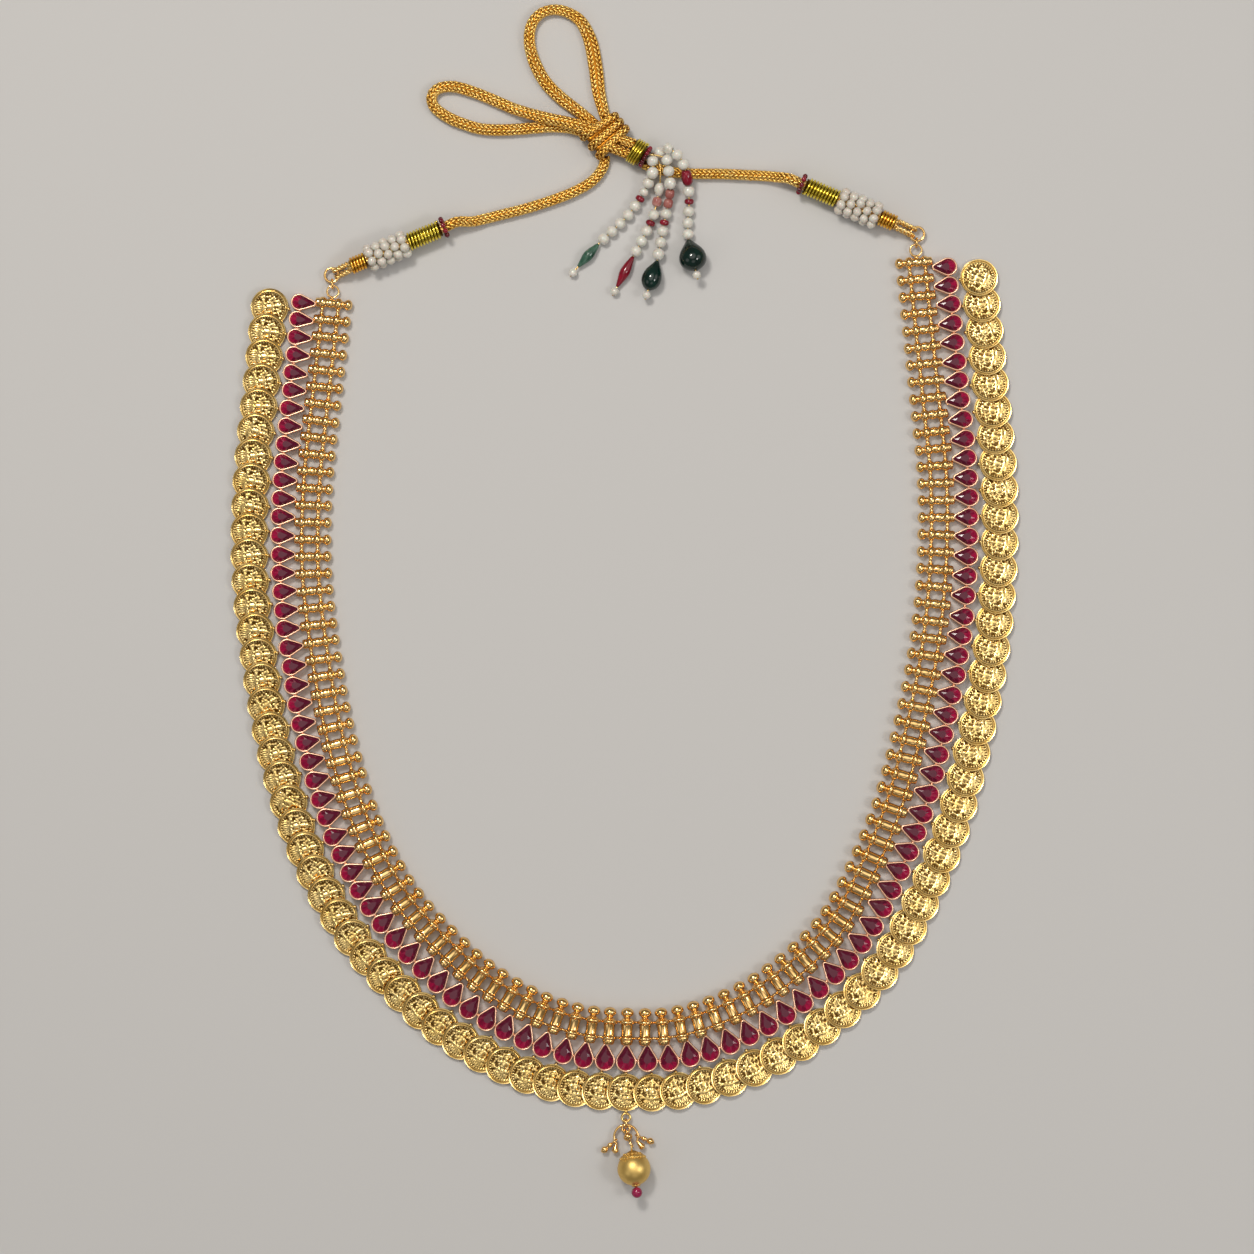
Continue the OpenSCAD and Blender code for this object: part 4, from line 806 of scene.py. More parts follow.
def stones_and_settings(k):
    name = SIDES[k]
    settings, stones = Soup(), Soup()
    places = stone_row.places(STONE_ENDS, sign(k), STONES[k], 1 - k)
    for s in places:
        turn, slip = rng.normal(0, STONE_TURN), rng.normal(0, STONE_SLIP, 2)
        setting(settings, s, turn, slip)
        stone(stones, s, turn, slip)
    for a, b in zip(places[:-1], places[1:]):
        s = (a + b) / 2
        solder = ball((0, pear_at(s)[2] + SOLDER_Y, SOLDER_Z), SOLDER_D, 10, 7)
        settings.lay(solder, lambda points: stone_row.put(points, s), wear=0.6)
    settings.piece("setting_strip_" + name, rim_gold, "rose_gold")
    stones.piece("rubies_" + name, ruby, "ruby", flat=True)


# The coins: cells from middle to edge, height of the edge's bevel, width of the back, and the height of relief
# from which the gold is rubbed bright
GRID = 26
COIN_BEVEL = 0.1
COIN_BACK = 0.975
RUBBED = 0.17


def disc_grid(n):
    """A square grid pressed into a disc of radius 1, so that its cells are alike all over."""
    i = np.arange(-n, n + 1) / n
    a, b = np.meshgrid(i, i, indexing="ij")
    wide = np.abs(a) > np.abs(b)
    safe_a, safe_b = np.where(a == 0, 1, a), np.where(b == 0, 1, b)
    angle = np.where(wide, math.pi / 4 * b / safe_a, math.pi / 2 - math.pi / 4 * a / safe_b)
    r = np.where(wide, a, b)
    steps = np.arange(n + 1) / n
    radii = np.concatenate([np.linspace(0, 0.835, n - 6), [0.838, 0.853, 0.87, 0.9, 0.93, 0.965, 1.0]])[:n + 1]
    size = np.interp(np.abs(r), steps, radii) * np.sign(r)
    return (size * np.cos(angle)).ravel(), (size * np.sin(angle)).ravel()


def dome(x, y, cx, cy, rx, ry, h, turn=0.0):
    c, s = math.cos(math.radians(turn)), math.sin(math.radians(turn))
    u, v = (x - cx) * c + (y - cy) * s, (y - cy) * c - (x - cx) * s
    return h * np.sqrt(np.clip(1 - (u / rx) ** 2 - (v / ry) ** 2, 0, 1))


def limb(x, y, a, b, r, h):
    a, b = np.array(a, float), np.array(b, float)
    d = b - a
    t = np.clip(((x - a[0]) * d[0] + (y - a[1]) * d[1]) / max(d @ d, 1e-9), 0, 1)
    gap = np.hypot(x - a[0] - t * d[0], y - a[1] - t * d[1])
    return h * np.sqrt(np.clip(1 - (gap / r) ** 2, 0, 1))


def band(r, middle, half, h):
    return h * np.sqrt(np.clip(1 - ((r - middle) / half) ** 2, 0, 1))


# The coin's relief, its radius being 1. Rings: radius, half width and height. Domes: middle, half sizes, height
# and turn. Limbs: both ends, radius and height. Pairs stand on both sides of the figure.
COIN_RINGS = [(0.97, 0.042, 0.36), (0.852, 0.028, 0.26)]
COIN_DOTS, DOTS_AT, DOT_R, DOT_H = 34, 0.77, 0.042, 0.19
COIN_GRAINS = 46
HALO = (0.235, 0.03, 0.15)
DOMES = [(0, 0.34, 0.105, 0.125, 0.29), (0, 0.345, 0.028, 0.06, 0.31), (0, 0.47, 0.14, 0.05, 0.25),
         (0, 0.02, 0.14, 0.21, 0.28), (0, -0.12, 0.17, 0.08, 0.24)]
DOMES += [(i * 0.115, -0.565, 0.052, 0.065, 0.22) for i in range(-3, 4)]
LIMBS = [((0, 0.47), (0, 0.6), 0.06, 0.25), ((0, 0.25), (0, 0.18), 0.06, 0.2), ((0, -0.22), (0, -0.42), 0.05, 0.22),
         ((-0.4, -0.47), (0.4, -0.47), 0.04, 0.2), ((-0.27, -0.66), (0.27, -0.66), 0.03, 0.16)]
PAIRED_DOMES = [(0.4, 0.36, 0.05, 0.085, 0.25, 0), (0.46, 0.34, 0.045, 0.075, 0.22, -35),
                (0.34, 0.35, 0.045, 0.075, 0.22, 35), (0.4, -0.26, 0.11, 0.09, 0.28, 0),
                (0.56, -0.16, 0.06, 0.07, 0.2, 0), (0.55, -0.33, 0.045, 0.05, 0.17, 0)]
PAIRED_LIMBS = [((0.06, 0.16), (0.19, 0.15), 0.07, 0.24), ((0.19, 0.15), (0.27, -0.04), 0.05, 0.22),
                ((0.27, -0.04), (0.2, -0.19), 0.045, 0.22), ((0.2, 0.15), (0.36, 0.06), 0.045, 0.2),
                ((0.36, 0.06), (0.4, 0.27), 0.042, 0.2), ((0.4, -0.26), (-0.08, -0.36), 0.085, 0.27),
                ((0.5, 0.16), (0.57, -0.08), 0.035, 0.16)]


def coin_relief(x, y):
    """Height over the field, in millimetres, of a seated figure in a ring of dots. 1 is the coin's radius."""
    r = np.hypot(x, y)
    step = 2 * math.pi / COIN_DOTS
    turn = np.round(np.arctan2(y, x) / step) * step
    parts = [band(r, *sizes) for sizes in COIN_RINGS]
    parts.append(dome(x, y, DOTS_AT * np.cos(turn), DOTS_AT * np.sin(turn), DOT_R, DOT_R, DOT_H))
    grains = np.random.default_rng(5)
    for i in range(COIN_GRAINS):
        a, far = i * 2.4 + grains.uniform(-0.3, 0.3), 0.3 + 0.38 * math.sqrt(grains.uniform(0, 1))
        parts.append(dome(x, y, far * math.cos(a), far * math.sin(a), grains.uniform(0.035, 0.06),
                          grains.uniform(0.05, 0.1), grains.uniform(0.1, 0.17), grains.uniform(0, 180)))
    parts += [dome(x, y, *sizes) for sizes in DOMES] + [limb(x, y, *sizes) for sizes in LIMBS]
    parts.append(np.where(y > 0.3, band(np.hypot(x, y - 0.38), *HALO), 0))
    for m in (-1, 1):
        parts += [dome(x, y, m * cx, cy, rx, ry, h, m * lean) for cx, cy, rx, ry, h, lean in PAIRED_DOMES]
        parts += [limb(x, y, (m * a[0], a[1]), (m * b[0], b[1]), w, h) for a, b, w, h in PAIRED_LIMBS]
    return np.max(parts, axis=0)


def coin_shape():
    """One stamped coin lying at the origin: points, faces, brightness and local places."""
    x, y = disc_grid(GRID)
    side = 2 * GRID + 1
    relief = coin_relief(x, y)
    r = np.hypot(x, y)
    edge = r > 0.999
    height = np.where(edge, COIN_T - COIN_BEVEL, COIN_FIELD + relief)
    radius = COIN_D / 2
    points = np.column_stack([x * radius, y * radius, height - COIN_T / 2])
    i, j = np.meshgrid(np.arange(side - 1), np.arange(side - 1), indexing="ij")
    k = (i * side + j).ravel()
    faces = np.stack([k, k + side, k + side + 1, k + 1], -1).tolist()
    rim = np.concatenate([np.arange(side) * side, (side - 1) * side + np.arange(1, side),
                          (np.arange(side - 2, -1, -1)) * side + side - 1, np.arange(side - 2, 0, -1)])
    n = len(rim)
    low = points[rim].copy()
    low[:, 2] = COIN_BEVEL - COIN_T / 2
    base = low * [COIN_BACK, COIN_BACK, 1]
    base[:, 2] = -COIN_T / 2
    start = len(points)
    points = np.vstack([points, low, base])
    for m in range(n):
        q = (m + 1) % n
        faces.append([rim[m], rim[q], start + q, start + m])
        faces.append([start + m, start + q, start + n + q, start + n + m])
    faces.append([start + n + m for m in range(n)])
    local = np.column_stack([points[:, 0] / radius, points[:, 1] / radius, 0 * points[:, 0]])
    wear = np.concatenate([np.clip(relief / RUBBED, 0, 1), np.full(2 * n, 0.7)])
    wear[:side * side][edge] = 1
    return points, faces, wear, local


# How much the coins are turned about themselves, and the lug of a coin: reach past its edge, height and radius
COIN_TURN = 0.22
LUG = [(-0.35, -0.1, 0.55), (0.1, 0.05, 0.5), (0.45, 0, 0.42)]


def coins(k):
    """Coins of one side in two joined meshes, with the lugs that reach to the settings."""
    template, faces, wear, local = coin_shape()
    lug = tube(np.array([(0, COIN_D / 2 + reach, z) for reach, z, _ in LUG]), [size[2] for size in LUG], 8)
    places = list(coin_row.places(COIN_ENDS, sign(k), COINS[k], 1 - k))
    half = len(places) // 2
    for part, group in enumerate((places[:half], places[half:])):
        soup = Soup()
        for s in group:
            lean = math.asin((COIN_T + COIN_CLEAR) / coin_row.pitch(COIN_ENDS, COINS, s))
            rise = COIN_D / 2 * math.sin(lean) + COIN_T / 2 * math.cos(lean)

            def move(points):
                return coin_row.put(leaned(points, lean, rise), s)
            soup.add(move(tilted(template, rng.normal(0, COIN_TURN))), faces, wear=wear, local=local)
            soup.lay(lug, move, wear=0.5)
        if k == 1 and part == 0:
            pendant_eye(soup)
        soup.piece("coins_%s_%d" % (SIDES[k], part + 1), coin_gold, "coin_gold", ["coins_" + SIDES[k]])


def leaned(points, lean, rise):
    c, s = math.cos(lean), math.sin(lean)
    return np.column_stack([points[:, 0] * c + points[:, 2] * s, points[:, 1],
                            points[:, 2] * c - points[:, 0] * s + rise])


# The pendant
PENDANT_Z = 1.3
EYE_R = 1.03
EYE_Y = COIN_LINE - COIN_D / 2 - 1.6
WIRES_APART = PENDANT_WIRE + 0.35
WIRE_CLEAR = 0.12
LINK_R = (WIRES_APART + PENDANT_WIRE) / 2 + WIRE_CLEAR + PENDANT_WIRE / 2
LINK_Y = EYE_Y - EYE_R - WIRES_APART / 2
SMALL_RING_R = 0.95
SMALL_RING_Y = LINK_Y - WIRES_APART / 2 - SMALL_RING_R
HOOP_D = 6.4
HOOP_R = (HOOP_D - PENDANT_WIRE) / 2
HOOP_Y = SMALL_RING_Y + SMALL_RING_R - HOOP_R
BALL_D = 8.3
BALL_AT = np.array([2, -26.6, BALL_D / 2])
BALL_TURN, BALL_DIP = 97, 8
BALL_EYE_R = 0.85
CAP_THICK = 0.35


def pendant_eye(soup):
    soup.lay(ring((0, EYE_Y, PENDANT_Z), EYE_R, PENDANT_SHOWN), wear=0.8)
    soup.lay(tube(np.array([[0, EYE_Y + EYE_R, 1.25], [0, EYE_Y + EYE_R + 1, 1.2]]), 0.42, 10), wear=0.6)


def ball_axis():
    """The way up from the ball's middle to its eye."""
    flat = direction(BALL_TURN) * math.cos(math.radians(BALL_DIP))
    return np.array([flat[0], flat[1], -math.sin(math.radians(BALL_DIP))])


BELL = [(0, 0), (0, 0.3), (0.35, 0.42), (0.7, 0.6), (1.1, 0.45), (1.5, 0.34), (1.7, 0.4), (1.85, 0.62), (2.1, 0.8),
        (2.4, 0.85), (2.7, 0.8), (3.0, 0.62), (3.2, 0.5), (3.3, 0.34), (3.4, 0.3), (3.42, 0)]
CONE = [(0, 0), (0, 0.28), (0.3, 0.34), (0.7, 0.46), (1.2, 0.66), (1.7, 0.84), (2.0, 0.84), (2.2, 0.66), (2.4, 0.5),
        (2.5, 0.3), (2.52, 0)]


# Degrees round the hoop: its two arcs, and where each cone and bell hangs and which way it points
HOOP_ARCS = ((105, 214), (-22, 75))
HOOP_BEAD_D = 0.75
CONES = ((214, 263), (-22, 313))
BELLS = ((200, 221), (4, 337))
BELL_RING_R, BELL_OUT = 0.8, 0.16


def on_hoop(angle):
    return np.array([0, HOOP_Y]) + HOOP_R * direction(angle)


def turned(profile, at, axis):
    """A turned shape of the pendant that stands at a place along an axis."""
    points, faces = lathe(profile, 20)
    return stand(points, at, axis), faces


def pendant():
    """Hoop, links, charms, ball and bead."""
    hoop, link, low_link, charms = (Soup() for _ in range(4))
    link.lay(ring((0, LINK_Y, PENDANT_Z), LINK_R, PENDANT_SHOWN, normal=(1, 0, 0)), wear=0.9)
    link.piece("pendant_link", bar_gold, "gold")

    hoop.lay(ring((0, SMALL_RING_Y, PENDANT_Z), SMALL_RING_R, PENDANT_SHOWN), wear=0.9)
    for arc in HOOP_ARCS:
        hoop.lay(flat_ring((0, HOOP_Y, PENDANT_Z), HOOP_R, PENDANT_SHOWN, arc), wear=0.9)
        for a in arc:
            hoop.lay(ball((*on_hoop(a), PENDANT_Z), HOOP_BEAD_D), wear=0.7)
    # Cones and bells get painted light on their swells and painted shade in their pinches.
    for where, turn in CONES:
        hoop.lay(turned(CONE, (*on_hoop(where), PENDANT_Z), (*direction(turn), 0)), wear=lathe_painted_shade(CONE, 20))
    hoop.piece("pendant_hoop", bar_gold, "gold")

    for where, turn in BELLS:
        away = direction(turn)
        at = on_hoop(where) + BELL_OUT * away
        charms.lay(ring((*at, PENDANT_Z), BELL_RING_R, PENDANT_WIRE, normal=(-away[1], away[0], 0), n=28), wear=0.9)
        charms.lay(turned(BELL, (*(at + BELL_RING_R * away), PENDANT_Z), (*away, 0)), wear=lathe_painted_shade(BELL, 20))
    charms.piece("pendant_charms", bar_gold, "gold")

    up = ball_axis()
    eye_at = BALL_AT + up * (BALL_D / 2 + CAP_THICK + BALL_EYE_R)
    low = np.array([0, SMALL_RING_Y - SMALL_RING_R, PENDANT_Z])
    high = eye_at + up * BALL_EYE_R
    low_link.lay(long_link(low, high), wear=0.9)
    low_link.lay(ball(low + 0.4 * (high - low), LINK_BEAD[0], 20, 11, LINK_BEAD[1], high - low), wear=0.8)
    low_link.piece("pendant_link_lower", bar_gold, "gold")
    pendant_ball(up, eye_at)


def long_link(low, high):
    """An upright link of two half rings and two straight sides round the wires at low and high."""
    ahead = unit(high - low)
    side = unit(np.array([-ahead[1], ahead[0], 0]))
    over = np.cross(ahead, side)
    hold = (PENDANT_WIRE + LONG_LINK_WIRE) / 2 + WIRE_CLEAR
    r = hold + 0.08
    a = np.radians(np.linspace(-90, 90, 13))
    far = [high + ahead * (hold - r + r * math.cos(q)) + over * r * math.sin(q) for q in a]
    near = [low - ahead * (hold - r + r * math.cos(q)) - over * r * math.sin(q) for q in a]
    return tube(evenly(np.array(far + near + far[:1]), 0.18)[:-1], LONG_LINK_WIRE / 2, 14, closed=True)


# The ball's cap, as shares of its radius, and then in millimetres past it
BALL_CAP = [(0.66, 0.74), (0.68, 0.78), (0.74, 0.76), (0.86, 0.6), (0.97, 0.4)]
BALL_CAP_TOP = [(0.28, 0.9), (0.42, 0.55), (0.5, 0.3), (0.52, 0)]
BALL_FOOT = [(-0.32, 0), (-0.32, 0.6), (-0.12, 0.85), (0.15, 0.95), (0.5, 0.9), (0.5, 0)]
# Rings of grains on the ball: count, height and reach as shares of its radius, and size
BALL_GRAINS = ((22, 0.66, 0.76, 0.5), (12, 0.9, 0.49, 0.62), (7, -0.985, 0.2, 0.62))
PENDANT_BEAD_D, PENDANT_BEAD_GAP = 2.7, 0.4


def pendant_ball(up, eye_at):
    """A satin ball with a beaded cap, its eye, and small grains round the bead's peg."""
    soup = Soup()
    r = BALL_D / 2

    def move(points):
        return stand(points, BALL_AT, up)
    soup.lay(lathe(ball_profile(BALL_D, BALL_D, 33), 48), move, wear=0.9)
    cap = [(r * z, r * out) for z, out in BALL_CAP] + [(r + z, out) for z, out in BALL_CAP_TOP]
    # The cap gets painted light on its swells and painted shade in its pinches.
    soup.lay(lathe(cap, 40), move, wear=lathe_painted_shade(cap, 40))
    side = unit(np.cross(up, [0, 0, 1]))
    soup.lay(ring(eye_at, BALL_EYE_R, PENDANT_WIRE, normal=side, n=28), wear=0.9)
    over = np.cross(side, up)
    for count, height, out, d in BALL_GRAINS:
        for i in range(count):
            a = 2 * math.pi * i / count
            at = BALL_AT + up * r * height + (side * math.cos(a) + over * math.sin(a)) * r * out
            soup.lay(ball(at, d, 10, 7), wear=0.75)
    soup.lay(lathe([(z - r, out) for z, out in BALL_FOOT], 24), move, wear=0.5)
    soup.lay(tube(np.array([BALL_AT - up * (r + 0.2), BALL_AT - up * (r + 2.2)]), 0.3, 8), wear=0.5)
    soup.piece("pendant_ball", satin_gold, "gold")
    bead = Soup()
    at = BALL_AT - up * (r + PENDANT_BEAD_GAP + PENDANT_BEAD_D / 2)
    bead.lay(ball(at, PENDANT_BEAD_D, 24, 17, axis=up), facet=0.6)
    bead.piece("pendant_bead", berry_glass, "ruby")


# The rings and the wrapped ends of the cord
CORE_CLEAR = 0.05
SEED_LINE_R = CORE_D / 2 + CORE_CLEAR + SEED_D / 2
# The lowest seeds clear the table by this much.
SEED_LIFT = 0.05
AXIS_Z = CORE_D / 2 + CORE_CLEAR + SEED_D + SEED_LIFT


def band_end(k):
    s = bar_places(k)[-1]
    h = bar_row.heading(s)
    side = sign(k)
    ahead, across = np.array([math.cos(h), math.sin(h)]), np.array([-math.sin(h), math.cos(h)])
    return bar_row.spot(s) + side * END_REACH * ahead + END_RING_Y[k] * across


def jump_at(k):
    reach = (END_RING_D - RING_WIRE) / 2 + RING_WIRE + CHAIN_GAP + (JUMP_RING_D - RING_WIRE) / 2
    return band_end(k) + reach * direction(CHAIN_TURN[k])


def on_axis(k, points, start):
    forth = direction(WRAP_TURN[k])
    return stand(points, (*(jump_at(k) + start * forth), AXIS_Z), (*forth, 0))


HELIX_STEP = 15
HELIX_LEAN = 0.35
WIRE_SIDES = 8
# The dark filling under wound wire, which paints the shade between its turns: how deep under the wire, in wires, and
# how far from the ends
FILL_DEPTH, FILL_INSET = 0.85, 0.05


def helix(length, radius, turns):
    n = int(turns * 360 / HELIX_STEP)
    a = np.linspace(0, 2 * math.pi * turns, n)
    return round_z(a, radius, np.clip(np.linspace(0, length, n) + HELIX_LEAN * np.cos(a), 0, length))


def wound(soup, k, start, length, d, turns, wire, place=None):
    """Wire wound round the threads, over a dark filling that paints the shade between its turns."""
    line = helix(length - wire, d / 2 - wire / 2, turns)
    line[:, 2] += wire / 2
    place = place or (lambda points: on_axis(k, points, start))
    line = place(line)
    soup.lay(tube(line, wire / 2, WIRE_SIDES), wear=0.9, local=tube_local(line, WIRE_SIDES, wire))
    core, far = d / 2 - wire * FILL_DEPTH, length - FILL_INSET
    soup.lay(lathe([(FILL_INSET, 0), (FILL_INSET, core), (far, core), (far, 0)], 20), place, wear=0.05)


def chain_rings(k):
    name = SIDES[k]
    z = FLANGE_D[1] / 2
    link_r = (RING_WIRE + CHAIN_GAP + RING_WIRE) / 2 + LINK_PLAY + RING_WIRE / 2
    at = band_end(k) + ((END_RING_D - RING_WIRE) / 2 + (RING_WIRE + CHAIN_GAP) / 2) * direction(CHAIN_TURN[k])
    turn = direction(CHAIN_TURN[k])
    link, jump = Soup(), Soup()
    link.lay(ring((*at, z), link_r, LINK_SHOWN, normal=(-turn[1], turn[0], 0)), wear=0.9)
    link.piece("end_link_" + name, bar_gold, "gold")
    jump.lay(ring((*jump_at(k), z), (JUMP_RING_D - RING_WIRE) / 2, JUMP_SHOWN), wear=0.9)
    jump.piece("jump_ring_" + name, bar_gold, "gold")


def twisted(soup, line, d, lay):
    """Two strands of thread twisted round each other along a line."""
    s = way(line)
    _, a, b = frames(line)
    for k in (0, 1):
        turn = 2 * math.pi * (s / lay + k / 2)
        one = line + d / 4 * (np.cos(turn)[:, None] * a + np.sin(turn)[:, None] * b)
        soup.lay(tube(one, d * 0.27, 8), wear=0.9, local=tube_local(one, 8, d))


# The thread loops: how far each lies from the middle, how thick it is, and the length of one twist. Then the
# bundle's threads, and how far the bundle starts before the wraps.
LOOP_APART, LOOP_D, LOOP_LAY = 0.85, 1.25, 2.4
CORE_THREADS, CORE_THREAD_R, CORE_THREAD_D = 6, 0.8, 1.04
CORE_LEAD = 0.8
LOOP_THREAD = 0.75


def thread_loops(k):
    """Two hairpins of twisted thread hold the jump ring and run into the bundle."""
    name = SIDES[k]
    soup = Soup()
    jump_r = (JUMP_RING_D - RING_WIRE) / 2
    z = FLANGE_D[1] / 2
    level = LOOPS_L[k] - jump_r - 0.35
    slope = math.atan2(AXIS_Z - z, level)
    run = level / math.cos(slope) + 0.2
    bend = RING_WIRE / 2 + LINK_PLAY + 0.1 + LOOP_THREAD / 2
    forth = direction(WRAP_TURN[k])
    ahead = np.array([*(forth * math.cos(slope)), math.sin(slope)])
    over = np.array([*(-forth * math.sin(slope)), math.cos(slope)])
    across = np.array([-forth[1], forth[0], 0])
    centre = np.array([*(jump_at(k) + jump_r * forth), z])
    for y in (-LOOP_APART, LOOP_APART):
        a = np.radians(np.linspace(90, 270, 13))
        bow = [bend * (math.cos(q) * ahead + math.sin(q) * over) for q in a]
        legs = np.linspace(run, 0.25, 8)
        line = [over * bend + ahead * q for q in legs] + bow + [-over * bend + ahead * q for q in legs[::-1]]
        twisted(soup, evenly(np.array(line) + centre + across * y, 0.2), LOOP_D, LOOP_LAY)
    core_from = LOOPS_L[k] - CORE_LEAD
    core_l = SHORT_WRAP[0] + SEED_ROWS * SEED_D + COIL_WRAP[0] + 3 * STACK_GAP + RED_SEED_D + CORE_LEAD
    for at in circle(CORE_THREADS, CORE_THREAD_R, 0):
        line = on_axis(k, at + np.outer(np.linspace(0, core_l, 24), [0, 0, 1]), core_from)
        soup.lay(tube(line, CORE_THREAD_D / 2, 8), wear=0.6, local=tube_local(line, 8, 1))
    soup.piece("thread_loop_" + name, loop_gold, "gold_thread")


def seed(soup, at, d, axis, n=14, steps=10):
    points, faces = ball((0, 0, 0), d, n, steps, length=d * SEED_SQUASH)
    points = points * (1 + rng.normal(0, 0.012, (1, 3)))
    soup.add(stand(points, at, axis), faces, facet=rng.uniform(0.3, 0.9))


def wrapped_end(k):
    name = SIDES[k]
    start = LOOPS_L[k]
    short = Soup()
    wound(short, k, start, *SHORT_WRAP)
    short.piece("short_wrap_" + name, wrap_gold, "gold_wire")
    start += SHORT_WRAP[0] + STACK_GAP

    sleeve = Soup()
    for row in range(SEED_ROWS):
        turn = 0.2 + math.pi * (row % 2) / SEEDS_A_ROW
        for at in on_axis(k, circle(SEEDS_A_ROW, SEED_LINE_R, (row + 0.5) * SEED_D, turn), start):
            seed(sleeve, at, SEED_D * rng.uniform(*SEED_SHOWN), unit(rng.normal(0, 1, 3)))
    sleeve.piece("pearl_sleeve_" + name, seed_white, "pearl")
    start += SEED_ROWS * SEED_D + STACK_GAP

    coil = Soup()
    wound(coil, k, start, *COIL_WRAP)
    coil.piece("coil_wrap_" + name, coil_gold, "gold_wire")
    start += COIL_WRAP[0] + STACK_GAP

    red = Soup()
    r = CORE_D / 2 + 2 * CORE_CLEAR + RED_SEED_D / 2
    for at in on_axis(k, circle(RED_SEEDS, r, RED_SEED_D / 2), start):
        seed(red, at, RED_SEED_D, (*direction(WRAP_TURN[k]), 0), 12, 8)
    red.piece("red_ring_" + name, red_glass, "red_glass")
    return start + RED_SEED_D


# The woven cord
STITCH_COLUMNS = 8
STITCH_STEP = 1.2
# Half length, half width and half height of a stitch
STITCH = (0.78, 0.38, 0.3)
STITCH_SLANT = 0.55
CORE_SUNK = 0.34


def knitted(soup, line, d=CORD_D, closed=False, shade=0.0):
    """A knitted metal cord: columns of slanting stitches over a dark core that paints the shade between them."""
    line = evenly(line, 0.6)
    if closed:
        line = line[:-1]
    t, a, b = frames(line, closed, level=not closed)
    s = way(line)
    total = s[-1] + (np.linalg.norm(line[0, :3] - line[-1, :3]) if closed else 0)
    if closed:
        line, t, a, b = (np.vstack([q, q[:1]]) for q in (line, t, a, b))
        s = np.append(s, total)
    count = max(int(round(total / STITCH_STEP)), 1)
    step = total / count
    shape, faces = lathe(ball_profile(2, 2, 6), 6)
    flat = line[:, 3] if line.shape[1] > 3 else np.ones(len(line))
    for column in range(STITCH_COLUMNS):
        slant = STITCH_SLANT * (1 if column % 2 else -1)
        c = 2 * math.pi * (column + 0.5) / STITCH_COLUMNS
        for i in range(count):
            at = (i + (0.5 if column % 2 else 0.0) + 0.25) * step
            if at > total - 0.3 and not closed:
                continue
            at %= total
            q = [np.array([np.interp(at, s, m[:, n]) for n in range(3)]) for m in (line, t, a, b)]
            f = float(np.interp(at, s, flat))
            out = unit(math.cos(c) / f * q[2] + math.sin(c) * f * q[3])
            centre = q[0] + (d / 2 - STITCH[2]) * (math.cos(c) * f * q[2] + math.sin(c) / f * q[3])
            ahead = unit(unit(q[1]) + slant * unit(np.cross(out, q[1])))
            axes = np.stack([unit(np.cross(ahead, out)), out, ahead])
            size = np.array([STITCH[1], STITCH[2], STITCH[0]]) * rng.uniform(0.92, 1.06)
            points = centre + (shape * size) @ axes
            lit = 0.45 + 0.6 * shape[:, 1] - shade * (1 - max(out[2], 0))
            soup.add(points, faces, wear=np.clip(lit, 0.05, 1),
                     local=np.stack([shape[:, 2], shape[:, 0], 0 * shape[:, 0]], -1))
    last = -1 if closed else None
    # The core is painted shade: dark between the stitches.
    soup.lay(tube(line[:last], d / 2 - CORE_SUNK, 10, closed, level=not closed, flat=flat[:last]), wear=0.0)
    return line


def core_exit(k, end):
    """The first points of a cord, where it leaves its wrapped end."""
    return [(*(jump_at(k) + (end + t) * direction(WRAP_TURN[k])), AXIS_Z, 1) for t in (0.02, 3)]


def cord_piece(name, route):
    soup = Soup()
    line = knitted(soup, smooth(route, 6))
    piece = soup.piece(name, cord_gold, "cord")
    return piece


KNOT_HALF = (KNOT_STEP + KNOT_W) / 2
CAP_AXIS = direction(CAP_TURN)
CAP_AT = np.array(KNOT_AT) + CAP_AXIS * (KNOT_HALF / math.cos(math.radians(KNOT_TURN - 90 - CAP_TURN))
                                         + TAIL_L + CAP_L / 2)


def from_cap(points):
    """Points given from the cap's middle, in the frame's own place."""
    return [(p[0] + CAP_AT[0], p[1] + CAP_AT[1], *p[2:]) for p in points]


def knot_frame(points):
    c, s = direction(KNOT_TURN)
    out = points.copy()
    out[:, 0] = KNOT_AT[0] + points[:, 0] * c - points[:, 1] * s
    out[:, 1] = KNOT_AT[1] + points[:, 0] * s + points[:, 1] * c
    return out


# Each wrap's place along the bundle and its slant, and the wraps' thickness
KNOT_WRAPS = ((-2.55, 0.1), (0, 0.02), (2.55, -0.12))
KNOT_WRAP_D, KNOT_FILL_D = 2.3, 3.2
KNOT_SHADE, TAIL_SHADE = 0.5, 0.4


def knot():
    """Three woven wraps round the bundle, and the bundle's dark filling between them, which paints the shade in the
    gaps.
    """
    soup = Soup()
    half = (KNOT_L - KNOT_H) / 2
    r = KNOT_H / 2 - CORD_D / 2
    for y, skew in KNOT_WRAPS:
        a = np.radians(np.linspace(-90, 90, 13))
        right = np.stack([half + r * np.cos(a), 0 * a + y, KNOT_H / 2 + r * np.sin(a)], -1)
        left = np.stack([-half - r * np.cos(a[::-1]), 0 * a + y, KNOT_H / 2 + r * np.sin(a[::-1])], -1)
        loop = np.concatenate([right, left, right[:1]])
        loop[:, 1] += skew * loop[:, 0]
        line = np.column_stack([knot_frame(loop), np.full(len(loop), 1.0)])
        knitted(soup, line, KNOT_WRAP_D, closed=True, shade=KNOT_SHADE)
    # Painted shade: the filling shows dark in the gaps between the wraps.
    fill = np.array([[x, 0, KNOT_H / 2] for x in np.linspace(-half - 1.5, half + 1.5, 12)])
    for y in (-1.5, 1.5):
        soup.lay(tube(knot_frame(fill + [0, y, 0]), KNOT_FILL_D / 2, 12, level=True), wear=0.1)
    soup.piece("knot", cord_gold, "cord")


